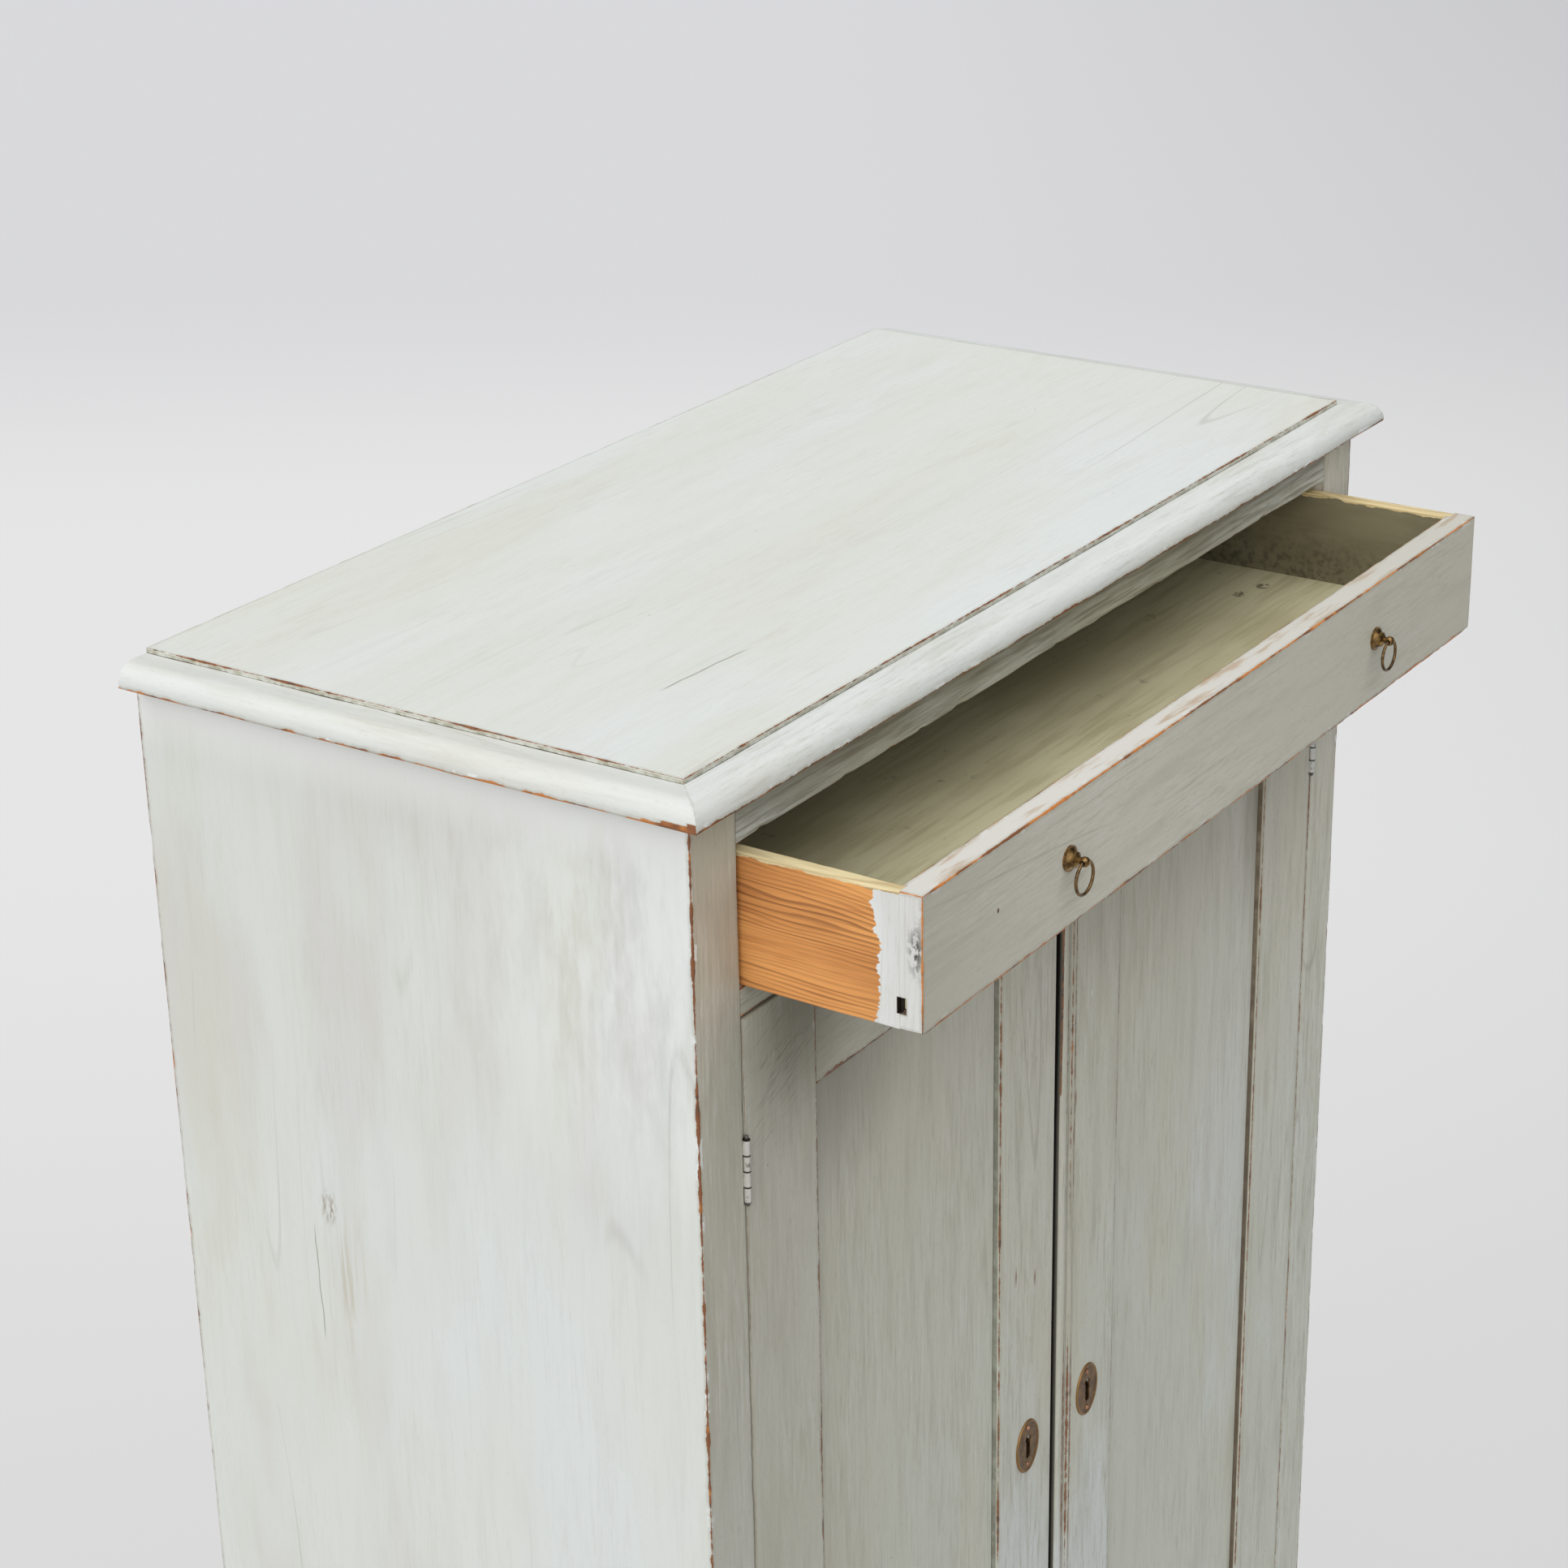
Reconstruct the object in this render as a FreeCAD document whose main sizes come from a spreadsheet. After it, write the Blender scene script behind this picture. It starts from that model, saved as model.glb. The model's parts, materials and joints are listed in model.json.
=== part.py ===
import FreeCAD, Part
import os
import re

# Painted pine cupboard with one wide drawer over a pair of panelled doors.
# Millimetres. X runs across the front, Y from front to back, Z up from the floor.
# The origin is on the floor, in the middle of the front plinth board's underside.

DIMENSIONS = {
    # carcass
    "carcass_width": 850,
    "carcass_depth": 411,
    "side_thickness": 18,
    "frame_thickness": 20,
    "stile_width": 45,
    "top_rail_height": 32.5,
    "top_rail_round": 4,
    "drawer_opening_height": 90,
    "drawer_rail_height": 18,
    "drawer_rail_depth": 50,
    "bottom_rail_height": 92,
    "frame_tenon_length": 24,
    "frame_tenon_thickness": 8,
    "frame_tenon_shoulder": 4,
    # top and plinth
    "moulding_height": 15,
    "moulding_overhang": 17.5,
    "moulding_seat": 8.7,
    "moulding_nose": 1.5,
    "top_step": 3.3,
    "top_back_inset": 3,
    "plinth_height": 70,
    "plinth_thickness": 16,
    "plinth_round": 10,
    # back, floor and shelves
    "back_thickness": 10,
    "back_rebate": 9,
    "back_board_gap": 1,
    "back_lift": 20,
    "floor_thickness": 18,
    "floor_housing": 5,
    "shelf_thickness": 18,
    "shelf_setback": 60,
    "cleat_width": 15,
    "cleat_height": 22,
    # drawer bearings in the carcass
    "runner_width": 47,
    "guide_height": 22,
    "stop_width": 16,
    "stop_height": 25,
    "stop_length": 15.5,
    # drawer
    "drawer_opened": 120,
    "drawer_side_clearance": 3.5,
    "drawer_lift": 0.3,
    "drawer_height": 84.5,
    "drawer_stop_clearance": 0.5,
    "drawer_front_thickness": 18,
    "drawer_side_thickness": 9.5,
    "drawer_side_drop": 0.8,
    "drawer_back_thickness": 12,
    "drawer_back_drop": 6,
    "drawer_bottom_thickness": 8,
    "drawer_end_rebate": 3,
    "drawer_groove_rise": 10,
    "drawer_front_groove": 7.5,
    "drawer_side_groove": 4,
    "drawer_edge_round": 1.5,
    "groove_fit": 0.15,
    # doors
    "door_height": 964,
    "door_thickness": 20,
    "door_gap": 2.5,
    "door_side_gap": 1.5,
    "meeting_gap": 5,
    "meeting_shift": 4,
    "door_stile_width": 76,
    "door_rail_height": 76,
    "bead_allowance": 7,
    "bead_width": 13,
    "bead_quirk": 3,
    "bead_depth": 2.5,
    "panel_recess": 5.5,
    "panel_thickness": 8,
    "panel_groove": 9,
    "panel_play": 1,
    "tenon_length": 62,
    "tenon_haunch": 15,
    "peg_radius": 4,
    "peg_length": 17,
    "peg_inset": 33,
    "peg_spacing": 26,
    "peg_fit": 0.05,
    # hinges
    "hinge_length": 42,
    "hinge_inset": 77,
    "hinge_proud": 1.2,
    "hinge_clearance": 0.3,
    "leaf_width": 15,
    "leaf_thickness": 1.5,
    "knuckle_radius": 2.3,
    "pin_radius": 1.1,
    "pin_fit": 0.05,
    "pin_tip": 2.5,
    "screw_head_radius": 3,
    "screw_radius": 1.5,
    "screw_length": 14,
    "screw_fit": 0.05,
    # locks and bolts
    "key_inset": 36.7,
    "key_rise": 2.3,
    "escutcheon_width": 30.4,
    "escutcheon_height": 41.6,
    "escutcheon_thickness": 1.4,
    "escutcheon_pin_spacing": 30,
    "escutcheon_pin_radius": 0.9,
    "escutcheon_pin_head": 1.9,
    "escutcheon_pin_length": 9,
    "keyhole_radius": 2.5,
    "keyhole_slot": 3.4,
    "keyhole_length": 17,
    "lock_setback": 0.5,
    "lock_width": 62,
    "lock_height": 48,
    "lock_depth": 14,
    "lock_bolt_length": 46,
    "lock_bolt_height": 14,
    "lock_bolt_thickness": 7,
    "lock_bolt_clearance": 0.3,
    "strike_width": 22,
    "strike_height": 30,
    "strike_pocket": 14,
    "door_bolt_radius": 3.5,
    "door_bolt_length": 78,
    "door_bolt_setback": 1,
    "door_bolt_inset": 40,
    "door_bolt_clearance": 0.3,
    "door_bolt_socket": 13,
    "door_bolt_play": 0.7,
    "bolt_plate_thickness": 2,
    "bolt_plate_width": 22,
    "bolt_plate_length": 70,
    "bolt_guide_length": 12,
    "bolt_guide_width": 13,
    "bolt_knob_radius": 3,
    "bolt_knob_length": 9,
    # ring pulls
    "pull_spread": 425,
    "pull_rise": 2.5,
    "rose_radius": 8,
    "rose_thickness": 1.4,
    "dome_height": 2.4,
    "cap_radius": 4.9,
    "cap_height": 1.5,
    "collar_height": 1.8,
    "neck_radius": 2.2,
    "eye_radius": 3.3,
    "eye_reach": 10.5,
    "eye_hole_radius": 1.8,
    "shank_radius": 2,
    "shank_fit": 0.05,
    "ring_radius": 10.4,
    "ring_wire": 1.05,
    "ring_lift": 0.2,
}

BACK_BOARD_COUNT = 6
SHELF_COUNT = 2
KNUCKLE_COUNT = 4
SCREWS_PER_LEAF = 2

# Places worked out from the sizes above.
DERIVED = {
    "half_width": "carcass_width / 2",
    "front": "plinth_thickness / 2",
    "frame_back": "front + frame_thickness",
    "back": "front + carcass_depth",
    "back_face": "back - back_thickness",
    "side_inner": "half_width - side_thickness",
    "opening_half": "half_width - stile_width",
    "door_zone_bottom": "bottom_rail_height",
    "door_bottom": "door_zone_bottom + door_gap",
    "door_top": "door_bottom + door_height",
    "key_z": "door_bottom + door_height / 2 + key_rise",
    "door_zone_top": "door_top + door_gap",
    "drawer_zone_bottom": "door_zone_top + drawer_rail_height",
    "drawer_zone_top": "drawer_zone_bottom + drawer_opening_height",
    "carcass_top": "drawer_zone_top + top_rail_height",
    "moulding_top": "carcass_top + moulding_height",
    "top_surface": "moulding_top + top_step",
    "top_back": "back - top_back_inset",
    "drawer_half": "opening_half - drawer_side_clearance",
    "drawer_face": "front - drawer_opened",
    "drawer_front_back": "drawer_face + drawer_front_thickness",
    "stop_face": "back_face - stop_length",
    "drawer_depth": "stop_face - drawer_stop_clearance - front",
    "drawer_end": "drawer_face + drawer_depth",
    "drawer_bottom_edge": "drawer_zone_bottom + drawer_lift",
    "drawer_top": "drawer_bottom_edge + drawer_height",
    "drawer_inner": "drawer_half - drawer_side_thickness",
    "drawer_groove_low": "drawer_bottom_edge + drawer_groove_rise",
    "drawer_groove_high": "drawer_groove_low + drawer_bottom_thickness + 2 * groove_fit",
    "door_back": "front + door_thickness",
    "groove_front": "front + panel_recess",
    "groove_back": "groove_front + panel_thickness + 2 * groove_fit",
    "left_edge": "-meeting_shift - meeting_gap / 2",
    "right_edge": "-meeting_shift + meeting_gap / 2",
    "right_lock_stile": "door_stile_width + bead_allowance",
    "hinge_x": "opening_half - door_side_gap / 2",
    "hinge_y": "front - hinge_proud",
    "plate_front": "hinge_y + knuckle_radius + hinge_clearance",
    "upper_hinge_z": "door_top - hinge_inset - hinge_length",
    "lower_hinge_z": "door_bottom + hinge_inset",
    "bolt_x": "left_edge - door_bolt_inset",
    "bolt_y": "door_back + bolt_plate_thickness + bolt_guide_width / 2",
    "lock_middle_y": "door_back + lock_depth / 2",
    "pull_z": "(drawer_bottom_edge + drawer_top) / 2 + pull_rise",
    "eye_y": "drawer_face - eye_reach",
}

doc = FreeCAD.newDocument("cupboard")
sheet = doc.addObject("Spreadsheet::Sheet", "Dims")
nodes = []


def fill_sheet():
    for row, (alias, value) in enumerate(DIMENSIONS.items(), start=1):
        sheet.set(f"A{row}", alias)
        sheet.set(f"B{row}", str(value))
        sheet.setAlias(f"B{row}", alias)
    doc.recompute()


def formula(text):
    """Write the plain names of a formula as cells of the sheet."""
    def cell(match):
        name = match.group(0)
        if name in DERIVED:
            return f"({formula(DERIVED[name])})"
        return f"Dims.{name}" if name in DIMENSIONS else name
    return re.sub(r"[a-z_]+", cell, str(text))


def add(kind, name):
    """A piece being worked on; only the finished sub-parts carry the plain names."""
    return doc.addObject(kind, f"{name}_blank")


def place(piece, x, y, z):
    for axis, text in zip("xyz", (x, y, z)):
        piece.setExpression(f"Placement.Base.{axis}", formula(text))


def node(label, piece):
    """Keep a piece as a sub-part under its own name."""
    piece.Label = label
    nodes.append(piece)
    return piece


def box(name, x, y, z):
    """A square-edged piece between a low and a high face on each axis."""
    piece = add("Part::Box", name)
    for size, (low, high) in zip(("Length", "Width", "Height"), (x, y, z)):
        piece.setExpression(size, formula(f"({high}) - ({low})"))
    place(piece, x[0], y[0], z[0])
    return piece


TURNS = {
    "x": FreeCAD.Rotation(FreeCAD.Vector(0, 1, 0), 90),
    "-x": FreeCAD.Rotation(FreeCAD.Vector(0, 1, 0), -90),
    "y": FreeCAD.Rotation(FreeCAD.Vector(1, 0, 0), -90),
    "-y": FreeCAD.Rotation(FreeCAD.Vector(1, 0, 0), 90),
    "z": FreeCAD.Rotation(),
}


def rod(name, axis, at, radius, length):
    """A cylinder from the point `at` along an axis."""
    piece = add("Part::Cylinder", name)
    piece.Placement = FreeCAD.Placement(FreeCAD.Vector(), TURNS[axis])
    piece.setExpression("Radius", formula(radius))
    piece.setExpression("Height", formula(length))
    place(piece, *at)
    return piece


def cone(name, axis, at, radius, end_radius, length):
    piece = add("Part::Cone", name)
    piece.Placement = FreeCAD.Placement(FreeCAD.Vector(), TURNS[axis])
    piece.setExpression("Radius1", formula(radius))
    piece.setExpression("Radius2", formula(end_radius))
    piece.setExpression("Height", formula(length))
    place(piece, *at)
    return piece


def ball(name, at, radius):
    piece = add("Part::Sphere", name)
    piece.setExpression("Radius", formula(radius))
    place(piece, *at)
    return piece


def cut(name, base, tools):
    for tool in tools:
        whole = base
        base = add("Part::Cut", name)
        base.Base = whole
        base.Tool = tool
    return base


def fuse(name, pieces):
    piece = add("Part::MultiFuse", name)
    piece.Shapes = pieces
    return piece


def group(name, pieces):
    piece = add("Part::Compound", name)
    piece.Links = pieces
    return piece


def mirrored(name, source):
    """The same piece on the other side of the middle plane."""
    piece = add("Part::Mirroring", name)
    piece.Source = source
    piece.Normal = FreeCAD.Vector(1, 0, 0)
    return piece


def pair(left_label, right_label, left_piece):
    node(left_label, left_piece)
    node(right_label, mirrored(right_label, left_piece))


def both_sides(label, left_pieces):
    """One sub-part that holds the left pieces and their mirror images."""
    right_pieces = [mirrored(label, piece) for piece in left_pieces]
    node(label, group(label, left_pieces + right_pieces))


def rounded_block(name, x, y, z, on_edge, radius):
    """A block with its chosen edges rounded; on_edge tests an edge's middle in the block's own shares."""
    body = add("PartDesign::Body", name)
    block = body.newObject("PartDesign::AdditiveBox", f"{name}_block")
    for size, (low, high) in zip(("Length", "Width", "Height"), (x, y, z)):
        block.setExpression(size, formula(f"({high}) - ({low})"))
    doc.recompute()
    sizes = (block.Length.Value, block.Width.Value, block.Height.Value)
    chosen = []
    for number, edge in enumerate(block.Shape.Edges, start=1):
        middle = edge.CenterOfMass
        if on_edge(*(middle[axis] / sizes[axis] for axis in range(3))):
            chosen.append(f"Edge{number}")
    rounding = body.newObject("PartDesign::Fillet", f"{name}_rounding")
    rounding.Base = (block, chosen)
    rounding.setExpression("Radius", formula(radius))
    body.Tip = rounding
    place(body, x[0], y[0], z[0])
    return body


def mitre_tool(name, at, reach, height, turn):
    """A block turned to lie along the mitre, reaching past the strip it trims."""
    tool = add("Part::Box", name)
    tool.Placement = FreeCAD.Placement(FreeCAD.Vector(), FreeCAD.Rotation(FreeCAD.Vector(0, 0, 1), turn))
    tool.setExpression("Length", formula(f"2 * ({reach})"))
    tool.setExpression("Width", formula(f"2 * ({reach})"))
    tool.setExpression("Height", formula(height))
    place(tool, *at)
    return tool


def mitred_frame(names, outside, inside, low, height, radius, end):
    """Three strips with a rounded upper edge round the front and both sides, mitred at the front corners."""
    front_name, left_name, right_name = names
    corner = (f"-half_width - ({outside})", f"front - ({outside})", low)
    reach = f"({outside}) + ({inside})"
    z = (low, f"({low}) + ({height})")
    front_strip = rounded_block(
        front_name,
        (corner[0], f"half_width + ({outside})"), (corner[1], f"front + ({inside})"), z,
        lambda x, y, z: y < 0.1 and z > 0.9, radius)
    left_mitre = mitre_tool(f"{front_name}_mitre", corner, reach, height, 45)
    right_mitre = mirrored(f"{front_name}_mitre", left_mitre)
    node(front_name, cut(front_name, front_strip, [left_mitre, right_mitre]))
    side_strip = rounded_block(
        left_name,
        (corner[0], f"-half_width + ({inside})"), (corner[1], end), z,
        lambda x, y, z: x < 0.1 and z > 0.9, radius)
    side_mitre = mitre_tool(f"{left_name}_mitre", corner, reach, height, -45)
    pair(left_name, right_name, cut(left_name, side_strip, [side_mitre]))


def make_top():
    inside = "half_width - moulding_seat"
    node("top_board", box("top_board", (f"-({inside})", inside),
                          ("front + moulding_seat", "top_back"), ("carcass_top", "top_surface")))
    mitred_frame(("front_moulding", "left_moulding", "right_moulding"), "moulding_overhang", "moulding_seat",
                 "carcass_top", "moulding_height", "moulding_height - moulding_nose", "top_back")


def make_plinth():
    mitred_frame(("front_plinth", "left_plinth", "right_plinth"), "plinth_thickness", "0",
                 "0", "plinth_height", "plinth_round", "back")


FLOOR_Z = ("door_zone_bottom - floor_thickness", "door_zone_bottom")


def make_sides():
    side = box("left_side", ("-half_width", "-side_inner"), ("frame_back", "back"), ("0", "carcass_top"))
    rebate = box("back_rebate", ("-side_inner - back_rebate", "-side_inner"), ("back_face", "back"),
                 ("back_lift", "carcass_top"))
    housing = box("floor_housing", ("-side_inner - floor_housing", "-side_inner"),
                  ("frame_back", "back_face"), FLOOR_Z)
    pair("left_side", "right_side", cut("left_side", side, [rebate, housing]))


FRAME_TENON_Y = ("front + (frame_thickness - frame_tenon_thickness) / 2",
                 "front + (frame_thickness + frame_tenon_thickness) / 2")

FRAME_RAILS = {
    "top_rail": ("frame_thickness", "drawer_zone_top", "carcass_top"),
    "drawer_rail": ("drawer_rail_depth", "door_zone_top", "drawer_zone_bottom"),
    "bottom_rail": ("frame_thickness", "0", "bottom_rail_height"),
}


def frame_tenon_z(low, high):
    return (f"{low} + frame_tenon_shoulder", f"{high} - frame_tenon_shoulder")


def make_frame_rails():
    reach = "opening_half + frame_tenon_length"
    for name, (depth, low, high) in FRAME_RAILS.items():
        sizes = (("-opening_half", "opening_half"), ("front", f"front + {depth}"), (low, high))
        if name == "top_rail":
            body = rounded_block(name, *sizes, lambda x, y, z: y < 0.1 and z < 0.1, "top_rail_round")
        else:
            body = box(name, *sizes)
        tenons = box(f"{name}_tenons", (f"-({reach})", reach), FRAME_TENON_Y, frame_tenon_z(low, high))
        rail = fuse(name, [body, tenons])
        if name == "drawer_rail":
            socket = rod("upper_bolt_socket", "z", ("bolt_x", "bolt_y", "door_zone_top"),
                         "door_bolt_radius + door_bolt_play", "door_bolt_socket")
            rail = cut(name, rail, [socket])
        node(name, rail)


def make_stiles():
    stile = box("left_stile", ("-half_width", "-opening_half"), ("front", "frame_back"), ("0", "carcass_top"))
    mortises = []
    for name, (depth, low, high) in FRAME_RAILS.items():
        mortises.append(box(f"{name}_mortise", ("-opening_half - frame_tenon_length", "-opening_half"),
                            FRAME_TENON_Y, frame_tenon_z(low, high)))
    recesses = []
    for low in ("upper_hinge_z", "lower_hinge_z"):
        recesses += hinge_recess("frame", low)
    pair("left_stile", "right_stile", cut("left_stile", stile, mortises + recesses))


def make_back():
    rebated_half = "side_inner + back_rebate"
    step = f"(2 * ({rebated_half}) + back_board_gap) / {BACK_BOARD_COUNT}"
    boards = []
    for number in range(BACK_BOARD_COUNT):
        low = f"-({rebated_half}) + {number} * {step}"
        boards.append(box("back_board", (low, f"{low} + {step} - back_board_gap"), ("back_face", "back"),
                          ("back_lift", "carcass_top")))
    node("back_boards", group("back_boards", boards))


def make_floor_and_shelves():
    reach = "side_inner + floor_housing"
    floor = box("cupboard_floor", (f"-({reach})", reach), ("frame_back", "back_face"), FLOOR_Z)
    socket = rod("lower_bolt_socket", "z", ("bolt_x", "bolt_y", "door_zone_bottom - door_bolt_socket"),
                 "door_bolt_radius + door_bolt_play", "door_bolt_socket")
    node("cupboard_floor", cut("cupboard_floor", floor, [socket]))
    depth = ("front + shelf_setback", "back_face")
    step = f"(door_zone_top - door_zone_bottom) / {SHELF_COUNT + 1}"
    shelves = []
    cleats = []
    for number in range(1, SHELF_COUNT + 1):
        top = f"door_zone_bottom + {number} * {step}"
        underside = f"{top} - shelf_thickness"
        shelves.append(box("shelf", ("-side_inner", "side_inner"), depth, (underside, top)))
        cleats.append(box("cleat", ("-side_inner", "-side_inner + cleat_width"), depth,
                          (f"{underside} - cleat_height", underside)))
    node("shelves", group("shelves", shelves))
    both_sides("shelf_cleats", cleats)


def make_drawer_bearings():
    behind_rail = ("front + drawer_rail_depth", "back_face")
    inward = ("-side_inner", "-side_inner + runner_width")
    both_sides("drawer_runners", [box("runner", inward, behind_rail,
                                      ("door_zone_top", "drawer_zone_bottom"))])
    both_sides("drawer_guides", [box("guide", ("-side_inner", "-opening_half"), behind_rail,
                                     ("drawer_zone_bottom", "drawer_zone_bottom + guide_height"))])
    both_sides("drawer_kickers", [box("kicker", inward, ("frame_back", "back_face"),
                                      ("drawer_zone_top", "carcass_top"))])
    both_sides("drawer_stops", [box("stop", ("-drawer_half", "-drawer_half + stop_width"),
                                    ("stop_face", "back_face"),
                                    ("drawer_zone_bottom", "drawer_zone_bottom + stop_height"))])


def make_drawer():
    groove_z = ("drawer_groove_low", "drawer_groove_high")
    upright = ("drawer_bottom_edge", "drawer_top - drawer_side_drop")
    front_end = "drawer_front_back - drawer_end_rebate"

    across = ("-drawer_half", "drawer_half")
    board = rounded_block("drawer_front", across, ("drawer_face", "drawer_front_back"),
                          ("drawer_bottom_edge", "drawer_top"), lambda x, y, z: y < 0.1, "drawer_edge_round")
    groove = box("front_groove", across,
                 ("drawer_front_back - drawer_front_groove", "drawer_front_back"), groove_z)
    left_rebate = box("end_rebate", ("-drawer_half", "-drawer_inner"), (front_end, "drawer_front_back"),
                      ("drawer_bottom_edge", "drawer_top"))
    shanks = [pull_shank(side, "shank_radius + shank_fit") for side in ("-", "")]
    node("drawer_front", cut("drawer_front", board,
                             [groove, left_rebate, mirrored("end_rebate", left_rebate)] + shanks))

    side = box("drawer_left_side", ("-drawer_half", "-drawer_inner"), (front_end, "drawer_end"), upright)
    side_groove = box("side_groove", ("-drawer_inner - drawer_side_groove", "-drawer_inner"),
                      (front_end, "drawer_end"), groove_z)
    pair("drawer_left_side", "drawer_right_side", cut("drawer_left_side", side, [side_groove]))

    node("drawer_back", box("drawer_back", ("-drawer_inner", "drawer_inner"),
                            ("drawer_end - drawer_back_thickness", "drawer_end"),
                            ("drawer_groove_high", "drawer_top - drawer_back_drop")))
    reach = "drawer_inner + drawer_side_groove - groove_fit"
    node("drawer_bottom", box("drawer_bottom", (f"-({reach})", reach),
                              ("drawer_front_back - drawer_front_groove + groove_fit", "drawer_end"),
                              ("drawer_groove_low + groove_fit", "drawer_groove_high - groove_fit")))


def pull_shank(side, radius):
    return rod("pull_shank", "y", (f"{side}pull_spread / 2", "drawer_face", "pull_z"), radius,
               "drawer_front_thickness")


def make_pull(label, side):
    """A turned brass rose on a shank through the drawer front, ending in a ball with a cross hole."""
    x = f"{side}pull_spread / 2"
    stages = [
        ("rose_radius", "rose_radius", "rose_thickness"),
        ("rose_radius - rose_thickness / 2", "cap_radius", "dome_height"),
        ("cap_radius", "cap_radius", "cap_height"),
        ("cap_radius", "neck_radius", "collar_height"),
    ]
    turned = [pull_shank(side, "shank_radius")]
    reached = "0"
    for radius, end_radius, length in stages:
        at = (x, f"drawer_face - ({reached})", "pull_z")
        if radius == end_radius:
            turned.append(rod(label, "-y", at, radius, length))
        else:
            turned.append(cone(label, "-y", at, radius, end_radius, length))
        reached = f"{reached} + {length}"
    turned.append(rod(label, "-y", (x, "drawer_face", "pull_z"), "neck_radius", "eye_reach"))
    turned.append(ball(label, (x, "eye_y", "pull_z"), "eye_radius"))
    hole = rod(label, "x", (f"{x} - eye_radius", "eye_y", "pull_z"), "eye_hole_radius", "2 * eye_radius")
    node(label, cut(label, fuse(label, turned), [hole]))


def make_ring(label, side):
    ring = add("Part::Torus", label)
    ring.Placement = FreeCAD.Placement(FreeCAD.Vector(), TURNS["y"])
    ring.setExpression("Radius1", formula("ring_radius"))
    ring.setExpression("Radius2", formula("ring_wire"))
    place(ring, f"{side}pull_spread / 2", "eye_y", "pull_z + ring_lift - ring_radius")
    node(label, ring)


def hinge_recess(kind, low):
    """What a left-hand hinge takes out of the wood: leaf housing, knuckle room and screw holes."""
    x = leaf_span(kind)
    housing = box("leaf_housing", x, ("front", "front + leaf_width"), (low, f"{low} + hinge_length"))
    knuckle_room = rod("knuckle_room", "z", ("-hinge_x", "hinge_y", f"{low} - pin_tip - hinge_clearance"),
                       "knuckle_radius + hinge_clearance", "hinge_length + 2 * (pin_tip + hinge_clearance)")
    return [housing, knuckle_room] + leaf_screws(kind, low, "screw_fit")


def leaf_span(kind):
    if kind == "frame":
        return ("-opening_half - leaf_thickness", "-opening_half")
    return ("-opening_half + door_side_gap", "-opening_half + door_side_gap + leaf_thickness")


def leaf_screws(kind, low, extra):
    """Countersunk screws through a left-hand leaf, with extra radius where they stand for their holes."""
    axis = "-x" if kind == "frame" else "x"
    start = "-opening_half" if kind == "frame" else "-opening_half + door_side_gap"
    y = "(plate_front + front + leaf_width) / 2"
    screws = []
    for number in range(SCREWS_PER_LEAF):
        z = f"{low} + hinge_length * {(number + 0.5) / SCREWS_PER_LEAF}"
        at = (start, y, z)
        radius = f"screw_radius + {extra}"
        head = cone("screw_head", axis, at, f"screw_head_radius + {extra}", radius, "leaf_thickness")
        shank = rod("screw_shank", axis, at, radius, "screw_length")
        screws.append(fuse("screw", [head, shank]))
    return screws


def hinge_leaf(kind, low):
    """One left-hand leaf: a plate in its housing and every second knuckle round the pin."""
    x = leaf_span(kind)
    parts = [box("leaf_plate", x, ("plate_front", "front + leaf_width"), (low, f"{low} + hinge_length"))]
    first = 1 if kind == "frame" else 0
    for number in range(first, KNUCKLE_COUNT, 2):
        bottom = f"{low} + hinge_length * {number / KNUCKLE_COUNT} + hinge_clearance / 2"
        length = f"hinge_length / {KNUCKLE_COUNT} - hinge_clearance"
        parts.append(rod("knuckle", "z", ("-hinge_x", "hinge_y", bottom), "knuckle_radius", length))
        parts.append(box("knuckle_web", x, ("hinge_y", "plate_front"), (bottom, f"{bottom} + {length}")))
    bore = rod("pin_bore", "z", ("-hinge_x", "hinge_y", low), "pin_radius + pin_fit", "hinge_length")
    return cut("hinge_leaf", fuse("hinge_leaf", parts), [bore] + leaf_screws(kind, low, "screw_fit"))


def make_hinges():
    levels = ("upper_hinge_z", "lower_hinge_z")
    both_sides("hinge_frame_leaves", [hinge_leaf("frame", low) for low in levels])
    both_sides("hinge_frame_screws", [screw for low in levels for screw in leaf_screws("frame", low, "0")])
    pins = []
    for low in levels:
        stem = rod("pin_stem", "z", ("-hinge_x", "hinge_y", f"{low} - pin_tip + pin_radius"), "pin_radius",
                   "hinge_length + 2 * (pin_tip - pin_radius)")
        tips = [ball("pin_tip", ("-hinge_x", "hinge_y", z), "pin_radius * 1.25")
                for z in (f"{low} - pin_tip + pin_radius", f"{low} + hinge_length + pin_tip - pin_radius")]
        pins.append(fuse("hinge_pin", [stem] + tips))
    both_sides("hinge_pins", pins)
    door_leaves = [hinge_leaf("door", low) for low in levels]
    door_screws = [screw for low in levels for screw in leaf_screws("door", low, "0")]
    pair("left_door_hinge_leaves", "right_door_hinge_leaves", group("left_door_hinge_leaves", door_leaves))
    pair("left_door_hinge_screws", "right_door_hinge_screws", group("left_door_hinge_screws", door_screws))


class Door:
    """Distances across a door run from its hinge edge towards the meeting edge."""

    def __init__(self, side):
        self.side = side
        self.left = side == "left"
        self.edge = "left_edge" if self.left else "right_edge"
        self.lock_stile = "door_stile_width" if self.left else "right_lock_stile"
        hinge_edge = "opening_half - door_side_gap"
        self.hinge_edge = f"-({hinge_edge})" if self.left else hinge_edge
        self.width = f"({hinge_edge} + {self.edge})" if self.left else f"({hinge_edge} - ({self.edge}))"
        self.panel_end = f"({self.width} - {self.lock_stile})"

    def at(self, distance):
        return f"{self.hinge_edge} + ({distance})" if self.left else f"{self.hinge_edge} - ({distance})"

    def span(self, near, far):
        ends = (self.at(near), self.at(far))
        return ends if self.left else ends[::-1]


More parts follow.
